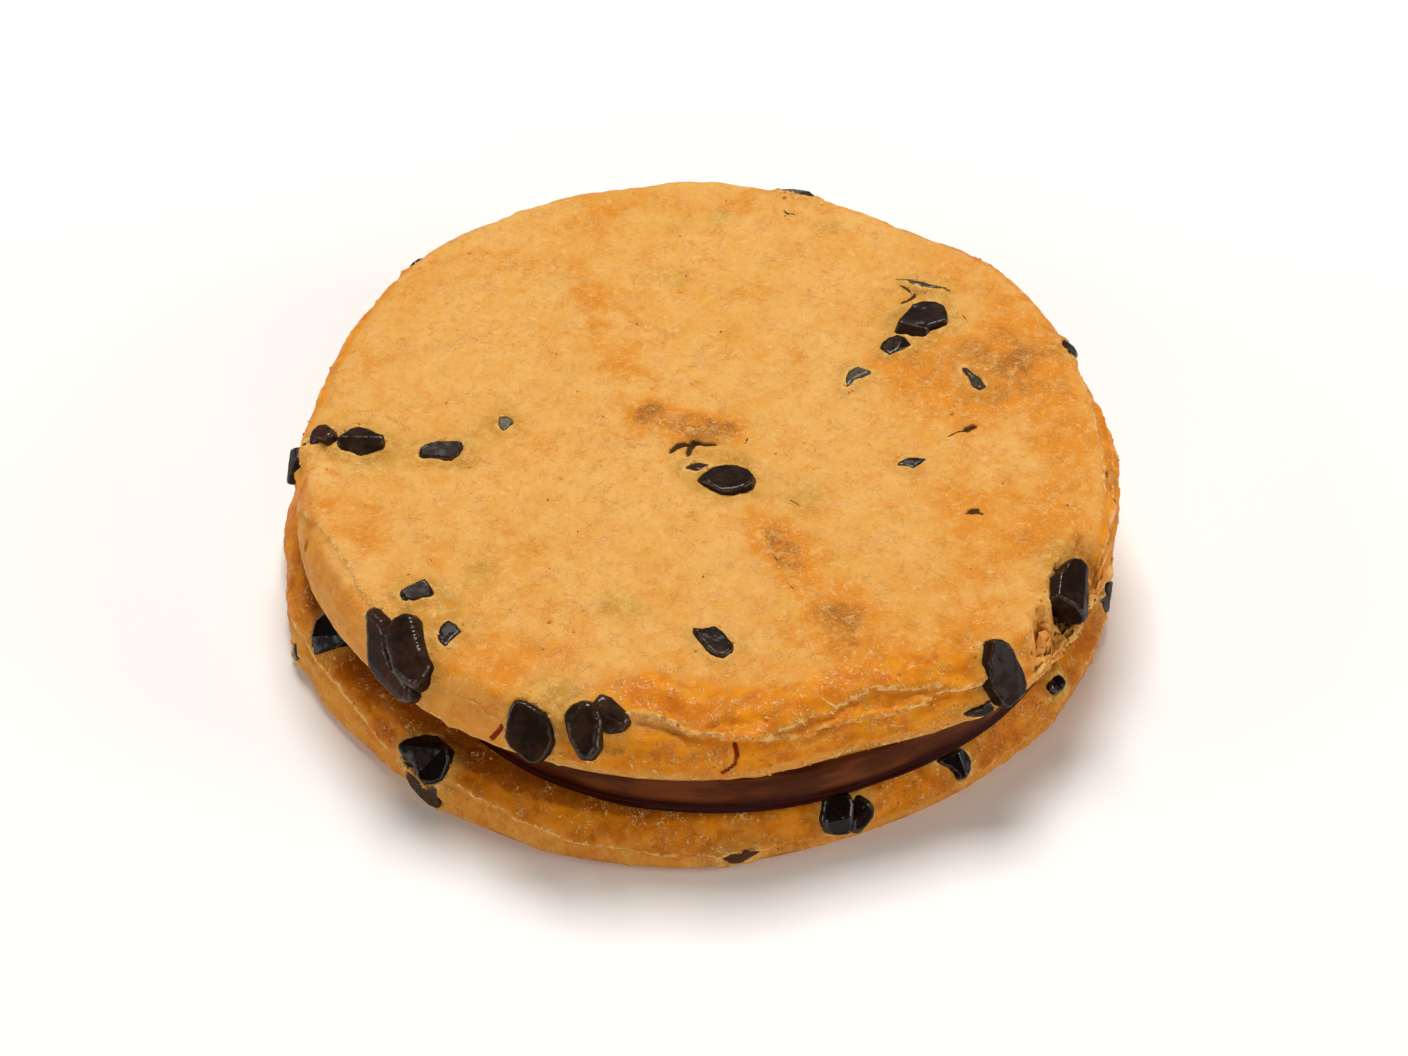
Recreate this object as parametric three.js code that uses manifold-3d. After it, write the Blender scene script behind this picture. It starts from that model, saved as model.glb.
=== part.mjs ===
// A chocolate chip alfajor: two round chocolate chip biscuits with a layer of chocolate filling between them.
// It lies flat on its base. Millimetres, +Z up, the origin at the middle of the bottom biscuit's base,
// and -Y towards the side with the turned-over lip. Clock angles run anticlockwise from +X, in degrees.
import * as THREE from "three";
import { mergeVertices } from "three/addons/utils/BufferGeometryUtils.js";
import Module from "manifold-3d";

const wasm = await Module();
wasm.setup();

// Air gap between neighbouring pieces
const CLEARANCE = 0.3;

// The two biscuits and the filling. Rims are radii at equal steps round the clock, from +X.
// A shoulder is how far the rounded edge reaches in over the face, and a heel the same at the base.
const BOTTOM = {
  centre: [0, 0],
  base: 0,
  thickness: 6.2,
  rim: [42.8, 42.4, 42.5, 42.2, 42.6, 42.8, 42.4, 42.3, 42.3, 42.4, 42.2, 43.0, 42.6, 41.5, 42.0, 42.7],
  shoulder: 3.4,
  shoulderSteps: 4,
  widestAt: 2.4,
  heel: 0.8,
};
// It reaches the edge at the front and right, and stays back from it at the left
const FILLING = {
  centre: [0.6, 0.2],
  thickness: 3.8,
  rim: [39.4, 39.0, 38.8, 38.6, 38.8, 39.0, 38.6, 37.6, 36.2, 35.4, 36.6, 39.2, 40.5, 40.6, 40.6, 40.2],
  bulge: 0.7,
  segments: 48,
};
const TOP = {
  centre: [1.0, 0.4],
  base: BOTTOM.thickness + FILLING.thickness + 2 * CLEARANCE,
  thickness: 7.0,
  rim: [41.9, 41.7, 42.3, 41.4, 42.8, 43.1, 43.2, 41.1, 41.6, 42.2, 42.0, 41.7, 41.2, 40.3, 42.7, 43.0],
  shoulder: 2.7,
  shoulderSteps: 5,
  widestAt: 3.2,
  heel: 0.6,
};

// Mesh sizes
const RIM_SEGMENTS = 96;
const FACE_STEP = 3.9;
const CORE_SEGMENTS = 12;
const CORE_STEP = 3.2;

// Chips: how much the block narrows up to its top and down to its foot, and how far its top lies above its
// facets before they cut it. A plain chip has this many corners, and facets of two slopes and a height over
// its rise. A corner of a socket's outline moves out no further than this many times its two sides' share.
const CHIP_TOP = 0.92;
const CHIP_FOOT = 0.72;
const FACET_ROOM = 0.4;
const PLAIN_CHIP_CORNERS = 7;
const PLAIN_FACETS = [[0.1, -0.06, 0], [-0.3, 0.15, 0.25]];
const MOST_MITRE = 1.6;

const CRUST = { color: 0xeeb167, roughness: 0.62, metalness: 0 };
const CHOCOLATE = { color: 0x2d1e13, roughness: 0.28, metalness: 0 };
const GANACHE = { color: 0x3a1a0d, roughness: 0.25, metalness: 0 };

const radians = THREE.MathUtils.degToRad;
const { smoothstep } = THREE.MathUtils;
const bell = (distance, width) => Math.exp(-((distance / width) ** 2));

// A radius at any angle, smooth through the equal steps of a rim
function rimRadius(rim, angle) {
  const turns = (((angle / (2 * Math.PI)) % 1) + 1) % 1;
  const step = Math.floor(turns * rim.length);
  const t = turns * rim.length - step;
  const [a, b, c, d] = [-1, 0, 1, 2].map((k) => rim[(step + k + rim.length) % rim.length]);
  return b + 0.5 * t * (c - a + t * (2 * a - 5 * b + 4 * c - d + t * (3 * (b - c) + d - a)));
}

// How far an angle lies inside a stretch of the clock, 0 to 1, fading over some degrees at both ends
function within(angle, from, to, fade) {
  const middle = radians((from + to) / 2);
  const away = Math.abs(Math.atan2(Math.sin(angle - middle), Math.cos(angle - middle)));
  return 1 - smoothstep(away, radians((to - from) / 2 - fade), radians((to - from) / 2 + fade));
}

// Slow lumps of hand-pressed dough: waves whose direction turns by the golden angle
const GOLDEN_ANGLE = 2.39996;
const LUMP_WAVES = [31, 22, 16, 11.5, 8.5];
function lumps(x, y, seed) {
  let sum = 0;
  LUMP_WAVES.forEach((length, i) => {
    const turn = GOLDEN_ANGLE * (i + seed);
    const along = x * Math.cos(turn) + y * Math.sin(turn);
    sum += (length / LUMP_WAVES[0]) * Math.sin((2 * Math.PI * along) / length + turn * seed);
  });
  return sum;
}

// Distance from a point to a line drawn through several points
function toLine(x, y, points) {
  let nearest = Infinity;
  for (let i = 1; i < points.length; i++) {
    const [x0, y0] = points[i - 1];
    const [dx, dy] = [points[i][0] - x0, points[i][1] - y0];
    const t = THREE.MathUtils.clamp(((x - x0) * dx + (y - y0) * dy) / (dx * dx + dy * dy), 0, 1);
    nearest = Math.min(nearest, Math.hypot(x - x0 - t * dx, y - y0 - t * dy));
  }
  return nearest;
}

// Relief of the top face, in its own plan: a low dome, the crease across the middle, the fold at the back right,
// and the hollow that one chip sits in
const DOME = { height: 0.9, radius: 41.8 };
const CREASE = { course: [[-12, 26], [-7, 8], [-2, 0], [8.5, -19], [15, -29]], height: 0.45, width: 3 };
const FOLD = { course: [[16, 11], [26, 15], [36, 13]], height: 0.4, width: 2.6 };
const HOLLOW = { x: 4, y: -5, depth: 0.5, width: 5.5 };
const TOP_LUMPS = 0.16;
function topFace(x, y) {
  const dome = DOME.height * (1 - (x * x + y * y) / DOME.radius ** 2);
  const crease = CREASE.height * bell(toLine(x, y, CREASE.course), CREASE.width);
  const fold = FOLD.height * bell(toLine(x, y, FOLD.course), FOLD.width);
  const hollow = HOLLOW.depth * bell(Math.hypot(x - HOLLOW.x, y - HOLLOW.y), HOLLOW.width);
  return dome + crease + fold - hollow + TOP_LUMPS * lumps(x, y, 1);
}

// Relief of the top biscuit's side: the turned-over lip with its trough, flaky layers, and the broken corner
const LIP = { from: 256, to: 312, fade: 9 };
const TROUGH = { height: 6.2, width: 0.75, depth: 0.8 };
const RIDGE = { height: 4.9, width: 0.8, rise: 0.55 };
const BROKEN = { from: 321, to: 340, fade: 3, height: 2.8, width: 2.4, depth: 0.9 };
const LAYERS = { spacing: 2.1, depth: 0.16 };
function topSide(angle, height) {
  const wander = 0.5 * Math.sin(3 * angle) + 0.3 * Math.sin(7 * angle + 1);
  const lip = within(angle, LIP.from, LIP.to, LIP.fade);
  const trough = TROUGH.depth * bell(height - TROUGH.height - 0.3 * wander, TROUGH.width);
  const ridge = RIDGE.rise * bell(height - RIDGE.height - 0.3 * wander, RIDGE.width);
  const layers = LAYERS.depth * Math.cos((2 * Math.PI * (height + wander)) / LAYERS.spacing);
  const broken = within(angle, BROKEN.from, BROKEN.to, BROKEN.fade);
  const blocks = 0.8 + 0.4 * Math.sin(40 * angle) * Math.cos(2.4 * height);
  const side = layers + 0.15 * Math.sin(9 * angle + 2) + 0.1 * Math.sin(17 * angle);
  const dent = BROKEN.depth * broken * blocks * bell(height - BROKEN.height, BROKEN.width);
  return side * smoothstep(height, 0, 1) + lip * (ridge - trough) - dent;
}

// Relief of the bottom biscuit: lumps near the edge, and a split in the rim at the right front
const SPLIT = { from: 294, to: 303, fade: 2.5, height: 3.4, width: 2, depth: 0.5 };
const WAIST = { height: 1.9, width: 0.6, depth: 0.3 };
const BOTTOM_LUMPS = 0.1;
const bottomFace = (x, y) => BOTTOM_LUMPS * lumps(x, y, 3);
function bottomSide(angle, height) {
  const wander = 0.4 * Math.sin(4 * angle + 2) + 0.3 * Math.sin(9 * angle);
  const split = within(angle, SPLIT.from, SPLIT.to, SPLIT.fade) * bell(height - SPLIT.height, SPLIT.width);
  const waist = bell(height - WAIST.height - 0.3 * wander, WAIST.width);
  const side = 0.16 * Math.sin(11 * angle + 1) + 0.1 * Math.sin(19 * angle);
  return (side - WAIST.depth * waist - SPLIT.depth * split) * smoothstep(height, 0, 1);
}

// How far the rounded shoulder lies inside the rim at a height above the base
function shoulderInset(biscuit, height) {
  const rise = Math.max(0, height - biscuit.widestAt) / (biscuit.thickness - biscuit.widestAt);
  return biscuit.shoulder * (1 - Math.sqrt(Math.max(0, 1 - rise * rise)));
}

const mean = (values) => values.reduce((a, b) => a + b, 0) / values.length;

// Segments of a ring: they double as it widens, so that faces keep about one size
function segmentsAt(radius) {
  const doublings = Math.ceil(Math.log2((2 * Math.PI * radius) / CORE_STEP / CORE_SEGMENTS));
  return Math.min(RIM_SEGMENTS, CORE_SEGMENTS * 2 ** Math.max(0, doublings));
}

// Rings of a biscuit's surface, from the middle of its face over the rim and in under the base.
// lean is the slope of the surface's normal away from upright.
function biscuitRings(biscuit, faceRelief, sideRelief) {
  const radius = mean(biscuit.rim);
  const rings = [];
  const add = (inset, height, lean) => rings.push({ inset, height, lean, count: segmentsAt(radius - inset) });
  const faceRadius = radius - biscuit.shoulder;
  const faceRings = Math.round(faceRadius / FACE_STEP);
  for (let i = 1; i < faceRings; i++) add(radius - (faceRadius * i) / faceRings, biscuit.thickness, 0);
  for (let i = 0; i <= biscuit.shoulderSteps; i++) {
    const lean = ((Math.PI / 2) * i) / biscuit.shoulderSteps;
    const height = biscuit.widestAt + (biscuit.thickness - biscuit.widestAt) * Math.cos(lean);
    add(biscuit.shoulder * (1 - Math.sin(lean)), height, lean);
  }
  for (const share of [0.7, 0.4]) add(0.1 * (1 - share), biscuit.widestAt * share, Math.PI / 2);
  add(biscuit.heel * 0.35, 0.35, Math.PI / 2);
  add(biscuit.heel, 0, Math.PI);
  for (let r = (radius - biscuit.heel) / 2; r > CORE_STEP; r /= 2) add(radius - r, 0, Math.PI);

  const point = ({ inset, height, lean }, angle) => {
    const reach = radius - inset;
    const share = Math.min(1, reach / radius) ** 2;
    const r = reach + (rimRadius(biscuit.rim, angle) - radius) * share;
    const [x, y] = [r * Math.cos(angle), r * Math.sin(angle)];
    const up = lean < Math.PI ? Math.max(0, Math.cos(lean)) : 0;
    const onSide = lean < Math.PI ? Math.sin(lean) : 0;
    const out = sideRelief(angle, height) * smoothstep(onSide, 0.1, 0.5);
    const z = height + faceRelief(x, y) * up + out * up;
    return [x + out * onSide * Math.cos(angle), y + out * onSide * Math.sin(angle), z];
  };
  return {
    top: [0, 0, biscuit.thickness + faceRelief(0, 0)],
    rings: rings.map((ring) =>
      Array.from({ length: ring.count }, (_, i) => point(ring, (2 * Math.PI * i) / ring.count)),
    ),
    bottom: [0, 0, 0],
  };
}

// A closed geometry through rings of points, from a first point to a last one. The next ring has as many
// points as the one before, twice as many or half as many.
function ringedGeometry({ top, rings, bottom }) {
  const positions = [...top, ...rings.flat(2), ...bottom];
  const starts = [];
  rings.reduce((start, ring) => (starts.push(start), start + ring.length), 1);
  const last = positions.length / 3 - 1;
  const faces = [];
  rings.slice(1).forEach((outer, k) => {
    const [inner, a, b] = [rings[k], starts[k], starts[k + 1]];
    const steps = Math.min(inner.length, outer.length);
    for (let i = 0; i < steps; i++) {
      if (inner.length === outer.length) {
        const j = (i + 1) % steps;
        faces.push(a + i, b + i, b + j, a + i, b + j, a + j);
      } else if (outer.length > inner.length) {
        const [o, p, q] = [2 * i, 2 * i + 1, (2 * i + 2) % outer.length];
        const j = (i + 1) % steps;
        faces.push(a + i, b + o, b + p, a + i, b + p, a + j, a + j, b + p, b + q);
      } else {
        const [o, p, q] = [2 * i, 2 * i + 1, (2 * i + 2) % inner.length];
        const j = (i + 1) % steps;
        faces.push(a + o, b + i, a + p, a + p, b + i, b + j, a + p, b + j, a + q);
      }
    }
  });
  rings[0].forEach((_, i) => faces.push(0, 1 + i, 1 + ((i + 1) % rings[0].length)));
  const [end, n] = [starts.at(-1), rings.at(-1).length];
  for (let i = 0; i < n; i++) faces.push(end + i, last, end + ((i + 1) % n));
  const geometry = new THREE.BufferGeometry();
  geometry.setAttribute("position", new THREE.Float32BufferAttribute(positions, 3));
  geometry.setIndex(faces);
  return geometry;
}

function toSolid(geometry) {
  const bare = new THREE.BufferGeometry().setAttribute("position", geometry.getAttribute("position"));
  bare.setIndex(geometry.getIndex());
  const merged = mergeVertices(bare, 1e-4);
  return new wasm.Manifold(
    new wasm.Mesh({
      numProp: 3,
      vertProperties: new Float32Array(merged.attributes.position.array),
      triVerts: new Uint32Array(merged.index.array),
    }),
  );
}

function toGeometry(solid) {
  const { vertProperties, triVerts } = solid.getMesh();
  const geometry = new THREE.BufferGeometry();
  geometry.setAttribute("position", new THREE.BufferAttribute(vertProperties, 3));
  geometry.setIndex(new THREE.BufferAttribute(triVerts, 1));
  geometry.computeVertexNormals();
  return geometry;
}

function biscuitSolid(biscuit, faceRelief, sideRelief) {
  const geometry = ringedGeometry(biscuitRings(biscuit, faceRelief, sideRelief));
  return toSolid(geometry.translate(...biscuit.centre, biscuit.base));
}

// The filling: a slab between the biscuits whose side bulges out, a little more at its foot
function fillingSolid() {
  const low = BOTTOM.thickness + CLEARANCE;
  const high = TOP.base - CLEARANCE;
  const deep = high - low;
  const radius = mean(FILLING.rim);
  const side = [[0, 1], [0.55, 0.85], [1, 0.6], [1, 0.35], [0.7, 0.12], [0.3, 0]];
  const ring = (count, reach, height) =>
    Array.from({ length: count }, (_, i) => {
      const angle = (2 * Math.PI * i) / count;
      const r = reach + rimRadius(FILLING.rim, angle) - radius + 0.12 * Math.sin(13 * angle);
      return [r * Math.cos(angle), r * Math.sin(angle), height];
    });
  const faceAt = (height) => [0.25, 0.6].map((share) => ring(FILLING.segments / 2, radius * share, height));
  const rings = [
    ...faceAt(high),
    ...side.map(([out, up]) => ring(FILLING.segments, radius + FILLING.bulge * (out - 1), low + deep * up)),
    ...faceAt(low).reverse(),
  ];
  const geometry = ringedGeometry({ top: [0, 0, high], rings, bottom: [0, 0, low] });
  return toSolid(geometry.translate(...FILLING.centre, 0));
}

// The outline of a chip where it lies in the dough: as it shows, or a blunt drop of a length and a width that
// narrows towards +X. square is the roundness of its corners: 0.6 is a block and 1 an egg.
function chipOutline({ outline, size, square, tip }) {
  if (outline) return outline;
  const power = (value) => Math.sign(value) * Math.abs(value) ** square;
  return Array.from({ length: PLAIN_CHIP_CORNERS }, (_, i) => {
    const turn = (2 * Math.PI * (i + 0.5)) / PLAIN_CHIP_CORNERS;
    const [along, across] = [power(Math.cos(turn)), power(Math.sin(turn))];
    return [(along * size[0]) / 2, (across * size[1] * (1 - tip * 0.5 * (1 + along))) / 2];
  });
}

// An outline moved outwards by a distance, each corner along the mean of its two sides' normals
function grown(outline, distance) {
  return outline.map((corner, i) => {
    const here = new THREE.Vector2(...corner);
    const sides = [here.clone().sub(new THREE.Vector2(...outline.at(i - 1)))];
    sides.push(new THREE.Vector2(...outline[(i + 1) % outline.length]).sub(here));
    const [before, after] = sides.map((side) => new THREE.Vector2(side.y, -side.x).normalize());
    const mitre = Math.min(MOST_MITRE, 2 / (1 + before.dot(after)));
    return here.addScaledVector(before.add(after), (distance * mitre) / 2).toArray();
  });
}

// A chocolate chip about the point where its middle crosses the dough's surface: a block that narrows a little
// above the surface and more below it, cut flat by facets. A facet is its two slopes and its height over that
// point. grow makes the chip larger on all sides, for its socket.
function chipSolid(chip, placement, grow) {
  const outline = grown(chipOutline(chip), grow);
  const facets = chip.facets ?? PLAIN_FACETS.map(([slopeX, slopeY, over]) => [slopeX, slopeY, chip.rise + over]);
  const depth = (chip.depth ?? chip.size[2] - chip.rise) + grow;
  const high = Math.max(...facets.map((facet) => facet[2])) + FACET_ROOM + grow;
  const ring = (share, height) => outline.map(([x, y]) => [x * share, y * share, height]);
  const rings = [ring(CHIP_TOP, high), ring(1, 0), ring(CHIP_FOOT, -depth)];
  let block = toSolid(ringedGeometry({ top: [0, 0, high], rings, bottom: [0, 0, -depth] }));
  for (const [slopeX, slopeY, height] of facets) {
    const inwards = new THREE.Vector3(slopeX, slopeY, -1);
    block = block.trimByPlane(inwards.toArray(), -height / inwards.length() - grow);
  }
  return block.transform(placement.toArray());
}

// Chips that show on the top biscuit's face, in its own plan. depth is how far a chip reaches into the dough.
const FACE_CHIPS = [
  {
    x: 22.5, y: 18.1, depth: 2.4, facets: [[0.03, 0.05, 1.1], [0.35, 0.9, 2.3]],
    outline: [
      [-0.5, -3.1], [0.3, -2.4], [0.7, -1.1], [2.5, -0.4], [2.6, 0.8], [2.3, 1.9], [1.5, 2.5], [0.2, 2.6],
      [-0.9, 2.1], [-2.4, -0.3], [-2.9, -1.4],
    ],
  },
  {
    x: 19.6, y: 14.3, depth: 2, facets: [[0.1, 0.1, 0.7], [-0.5, 0.3, 1.1]],
    outline: [
      [-1.0, -0.9], [-0.5, -1.5], [0.3, -0.9], [1.8, 0.1], [1.0, 0.9], [0.3, 1.2], [-0.6, 0.9], [-1.2, 0.3],
      [-1.4, -0.2],
    ],
  },
  {
    x: 15.6, y: 9.7, depth: 1.5, facets: [[0.05, 0.1, 0.35]],
    outline: [
      [-0.9, -1.6], [-0.1, -0.6], [0.7, -0.2], [1.6, 0.4], [0.8, 0.7], [0.2, 1.1], [-0.7, 0.4],
      [-1.0, -0.4],
    ],
  },
  {
    x: 22.7, y: 24.5, depth: 1.5, facets: [[0, -0.1, 0.3]],
    outline: [
      [-0.8, 0.0], [0.0, -0.4], [0.8, -0.5], [1.7, -0.5], [0.7, 0.0], [-0.1, 0.4], [-0.9, 0.6], [-1.6, 0.3],
    ],
  },
  {
    x: 27.8, y: 9.9, depth: 1.5, facets: [[0.2, 0.15, 0.4], [-0.4, -0.1, 0.5]],
    outline: [
      [-0.8, 0.7], [-0.1, -1.1], [0.6, -1.4], [1.2, -0.9], [0.8, -0.4], [0.6, 0.3], [-0.2, 0.8],
      [-0.8, 1.7], [-1.3, 1.8],
    ],
  },
  {
    x: 21.1, y: -2.5, depth: 1.5, facets: [[0, 0.1, 0.35]],
    outline: [
      [-0.4, -0.5], [0.1, -0.8], [1.0, -0.1], [1.5, 0.4], [0.6, 0.6], [-0.2, 0.6], [-1.0, 0.1],
      [-1.6, -0.4],
    ],
  },
  {
    x: 2.4, y: -6.0, depth: 2.4, facets: [[0.02, -0.03, 0.95], [0.5, 0, 2]],
    outline: [
      [-2.4, -0.6], [-0.7, -2.0], [0.4, -2.0], [1.7, -1.5], [2.5, -0.8], [2.6, 0.3], [2.0, 1.2], [1.0, 1.8],
      [-0.4, 1.9], [-1.5, 1.5], [-3.1, 0.1],
    ],
  },
  {
    x: -0.6, y: -4.0, depth: 1.5, facets: [[0.1, -0.1, 0.4]],
    outline: [
      [-0.6, -0.3], [0.0, -0.6], [0.7, -0.4], [1.2, 0.0], [0.1, 0.6], [-0.6, 0.5], [-1.2, 0.0],
    ],
  },
  {
    x: -20.3, y: 3.3, depth: 1.5, facets: [[0, 0.15, 0.25]],
    outline: [
      [-0.6, -0.5], [-0.1, -1.2], [0.3, -0.6], [0.8, -0.1], [0.7, 0.4], [0.1, 0.9], [-0.4, 0.8],
      [-0.7, 0.2],
    ],
  },
  {
    x: -26.8, y: -0.9, depth: 2, facets: [[0.02, 0.25, 0.6]],
    outline: [
      [-1.4, -0.9], [-0.1, -1.0], [1.1, -1.1], [1.8, -0.5], [2.0, 0.1], [2.2, 0.9], [0.6, 1.0], [-0.8, 0.9],
      [-1.6, 0.7], [-2.1, 0.2], [-2.2, -0.7],
    ],
  },
  {
    x: -35.0, y: 0.6, depth: 2.4, facets: [[0.05, -0.3, 1.2], [0.12, 0.5, 1.3]],
    outline: [
      [-2.1, -0.8], [-1.2, -1.1], [0.1, -2.0], [2.3, -0.9], [2.4, 0.0], [1.6, 0.5], [0.6, 1.6], [-0.3, 2.0],
      [-1.2, 1.6], [-2.0, 0.5], [-2.4, -0.4],
    ],
  },
  {
    x: -28.8, y: -21.3, depth: 2, facets: [[0, 0.2, 0.55], [-0.7, 0.1, 1.4]],
    outline: [
      [-1.3, -1.0], [-0.4, -1.2], [0.5, -0.8], [1.4, -0.6], [1.7, -0.1], [1.3, 0.6], [0.7, 1.4],
      [-0.1, 1.0], [-1.1, 0.4], [-1.7, -0.1],
    ],
  },
  {
    x: -25.6, y: -27.3, depth: 2, facets: [[0.05, 0.1, 0.45]],
    outline: [
      [-0.9, -0.3], [-0.8, -1.3], [-0.1, -1.8], [0.3, -1.0], [1.3, 0.2], [0.8, 0.9], [0.0, 1.6],
      [-0.5, 1.2], [-0.8, 0.6],
    ],
  },
  {
    x: 1.1, y: -28.7, depth: 2, facets: [[-0.04, 0.03, 0.75]],
    outline: [
      [-1.4, 0.0], [-0.8, -1.0], [0.0, -1.9], [0.9, -2.1], [1.7, -1.3], [1.8, -0.4], [1.3, 0.3], [0.6, 1.4],
      [0.0, 2.0], [-1.4, 1.5], [-2.3, 1.7],
    ],
  },
];

// Chips round the edges. angle is the clock angle, height is above the biscuit's base, and facing the slope of the
// surface there: 90 is up and 0 outwards. An outline lies with X along the anticlockwise tangent and Y up the
// slope. A plain chip has a turn of its length from the tangent, a length, width and depth, and a rise.
const TOP_EDGE_CHIPS = [
  { angle: 76, height: 6.2, facing: 62, turn: 168, size: [4.1, 2.8, 3.2], rise: 0.8, square: 0.65, tip: 0.6 },
  { angle: 23, height: 6.2, facing: 45, turn: 0, size: [2.5, 1.7, 2.0], rise: 0.5, square: 0.8, tip: 0.2 },
  {
    angle: 177.7, height: 7.0, facing: 55, depth: 2, facets: [[0.1, -0.2, 1.2], [-0.3, 0.4, 1.4]],
    outline: [
      [1.2, -1.8], [0.8, -1.1], [0.6, -0.1], [1.3, 0.9], [0.6, 1.5], [-0.6, 1.1], [-1.1, 0.7], [-1.4, -0.2],
      [-0.7, -0.9], [0.7, -1.5], [1.3, -2.4],
    ],
  },
  { angle: 179, height: 4.2, facing: 10, turn: 84, size: [4.4, 3.0, 2.8], rise: 0.9, square: 0.8, tip: 0.1 },
  {
    angle: 224.5, height: 6.1, facing: 50, depth: 2.4, facets: [[0.05, -0.05, 1.2], [-0.45, -0.4, 2.1]],
    outline: [
      [-1.9, -0.6], [0.5, -2.2], [1.9, -2.4], [3.1, -2.3], [3.2, -1.4], [2.9, -0.2], [0.1, 1.5],
      [-1.8, 2.8], [-2.6, 2.5], [-3.1, 1.6], [-2.9, 0.6],
    ],
  },
  {
    angle: 221.4, height: 4.3, facing: 26, depth: 2, facets: [[0.05, 0.05, 0.7], [0.1, 0.45, 1.1]],
    outline: [
      [-2.8, 1.2], [-1.5, -1.6], [0.0, -2.1], [3.4, -2.3], [4.7, -1.7], [4.4, -0.6], [1.0, 0.1],
      [-0.4, 1.2], [-1.1, 2.6], [-2.1, 3.1], [-4.0, 3.2],
    ],
  },
  {
    angle: 245.7, height: 4.4, facing: 38, depth: 2.4, facets: [[0, 0.05, 1.15], [-0.4, -0.5, 2.5]],
    outline: [
      [-1.4, -2.0], [0.9, -2.9], [1.7, -2.7], [2.4, -1.7], [2.7, -0.2], [2.0, 1.3], [1.4, 2.1], [-1.0, 2.7],
      [-2.1, 2.6], [-2.4, 1.6], [-2.2, -1.2],
    ],
  },
  {
    angle: 253.4, height: 5.8, facing: 47, depth: 2.4, facets: [[0.05, 0.1, 1.1], [0.5, -0.1, 1.7]],
    outline: [
      [-1.0, -1.0], [0.3, -2.6], [1.1, -2.5], [1.5, -1.7], [1.3, -0.4], [1.3, 0.9], [0.8, 1.8], [0.2, 2.2],
      [-0.7, 2.2], [-1.5, 1.7], [-1.9, 0.9],
    ],
  },
  {
    angle: 256.5, height: 6.6, facing: 58, depth: 1.8, facets: [[-0.25, -0.25, 1.1], [0, 0.6, 1.2]],
    outline: [
      [-1.0, -0.1], [-0.7, -1.2], [0.2, -1.3], [1.3, -0.9], [1.6, -0.2], [1.2, 0.3], [0.5, 0.8],
      [-0.4, 1.4], [-1.2, 1.6], [-1.5, 0.9],
    ],
  },
  {
    angle: 331.9, height: 6.1, facing: 48, depth: 2.4, facets: [[-0.05, -0.05, 1.35], [-0.35, 0.55, 1.9]],
    outline: [
      [-2.2, -0.8], [-2.1, -2.9], [-1.1, -3.1], [1.7, -1.1], [3.2, 0.1], [3.2, 1.2], [2.4, 2.0], [1.5, 2.2],
      [0.6, 2.0], [-0.4, 2.2], [-2.9, 1.1],
    ],
  },
  {
    angle: 314.2, height: 4.9, facing: 38, depth: 2.4,
    facets: [[0.05, 0, 1.3], [-0.4, 0.2, 1.7], [0.1, 0.5, 2.4]],
    outline: [
      [-1.3, 2.1], [-2.3, -0.3], [-1.9, -2.4], [-1.2, -3.1], [-0.1, -2.9], [1.1, -2.9], [2.0, -2.3],
      [2.1, -1.0], [1.6, 2.7], [1.0, 3.4], [0.2, 3.6],
    ],
  },
  {
    angle: 310.7, height: 2.0, facing: 8, depth: 1.6, facets: [[0.1, 0.1, 0.6]],
    outline: [
      [-0.7, -0.5], [0.2, -0.8], [1.2, -0.6], [1.2, 0.4], [1.0, 1.0], [0.5, 1.0], [-0.2, 0.3], [-1.1, 0.5],
      [-2.2, 0.4],
    ],
  },
  { angle: 45, height: 3.2, facing: 6, turn: 30, size: [5.2, 3.4, 3.2], rise: 0.6, square: 0.8, tip: 0.2 },
  { angle: 104, height: 2.8, facing: 4, turn: -15, size: [4.6, 3.3, 2.8], rise: 0.5, square: 0.7, tip: 0.2 },
  { angle: 133, height: 3.0, facing: 6, turn: 20, size: [5.0, 3.4, 3.4], rise: 0.7, square: 0.9, tip: 0.1 },
];
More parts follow.
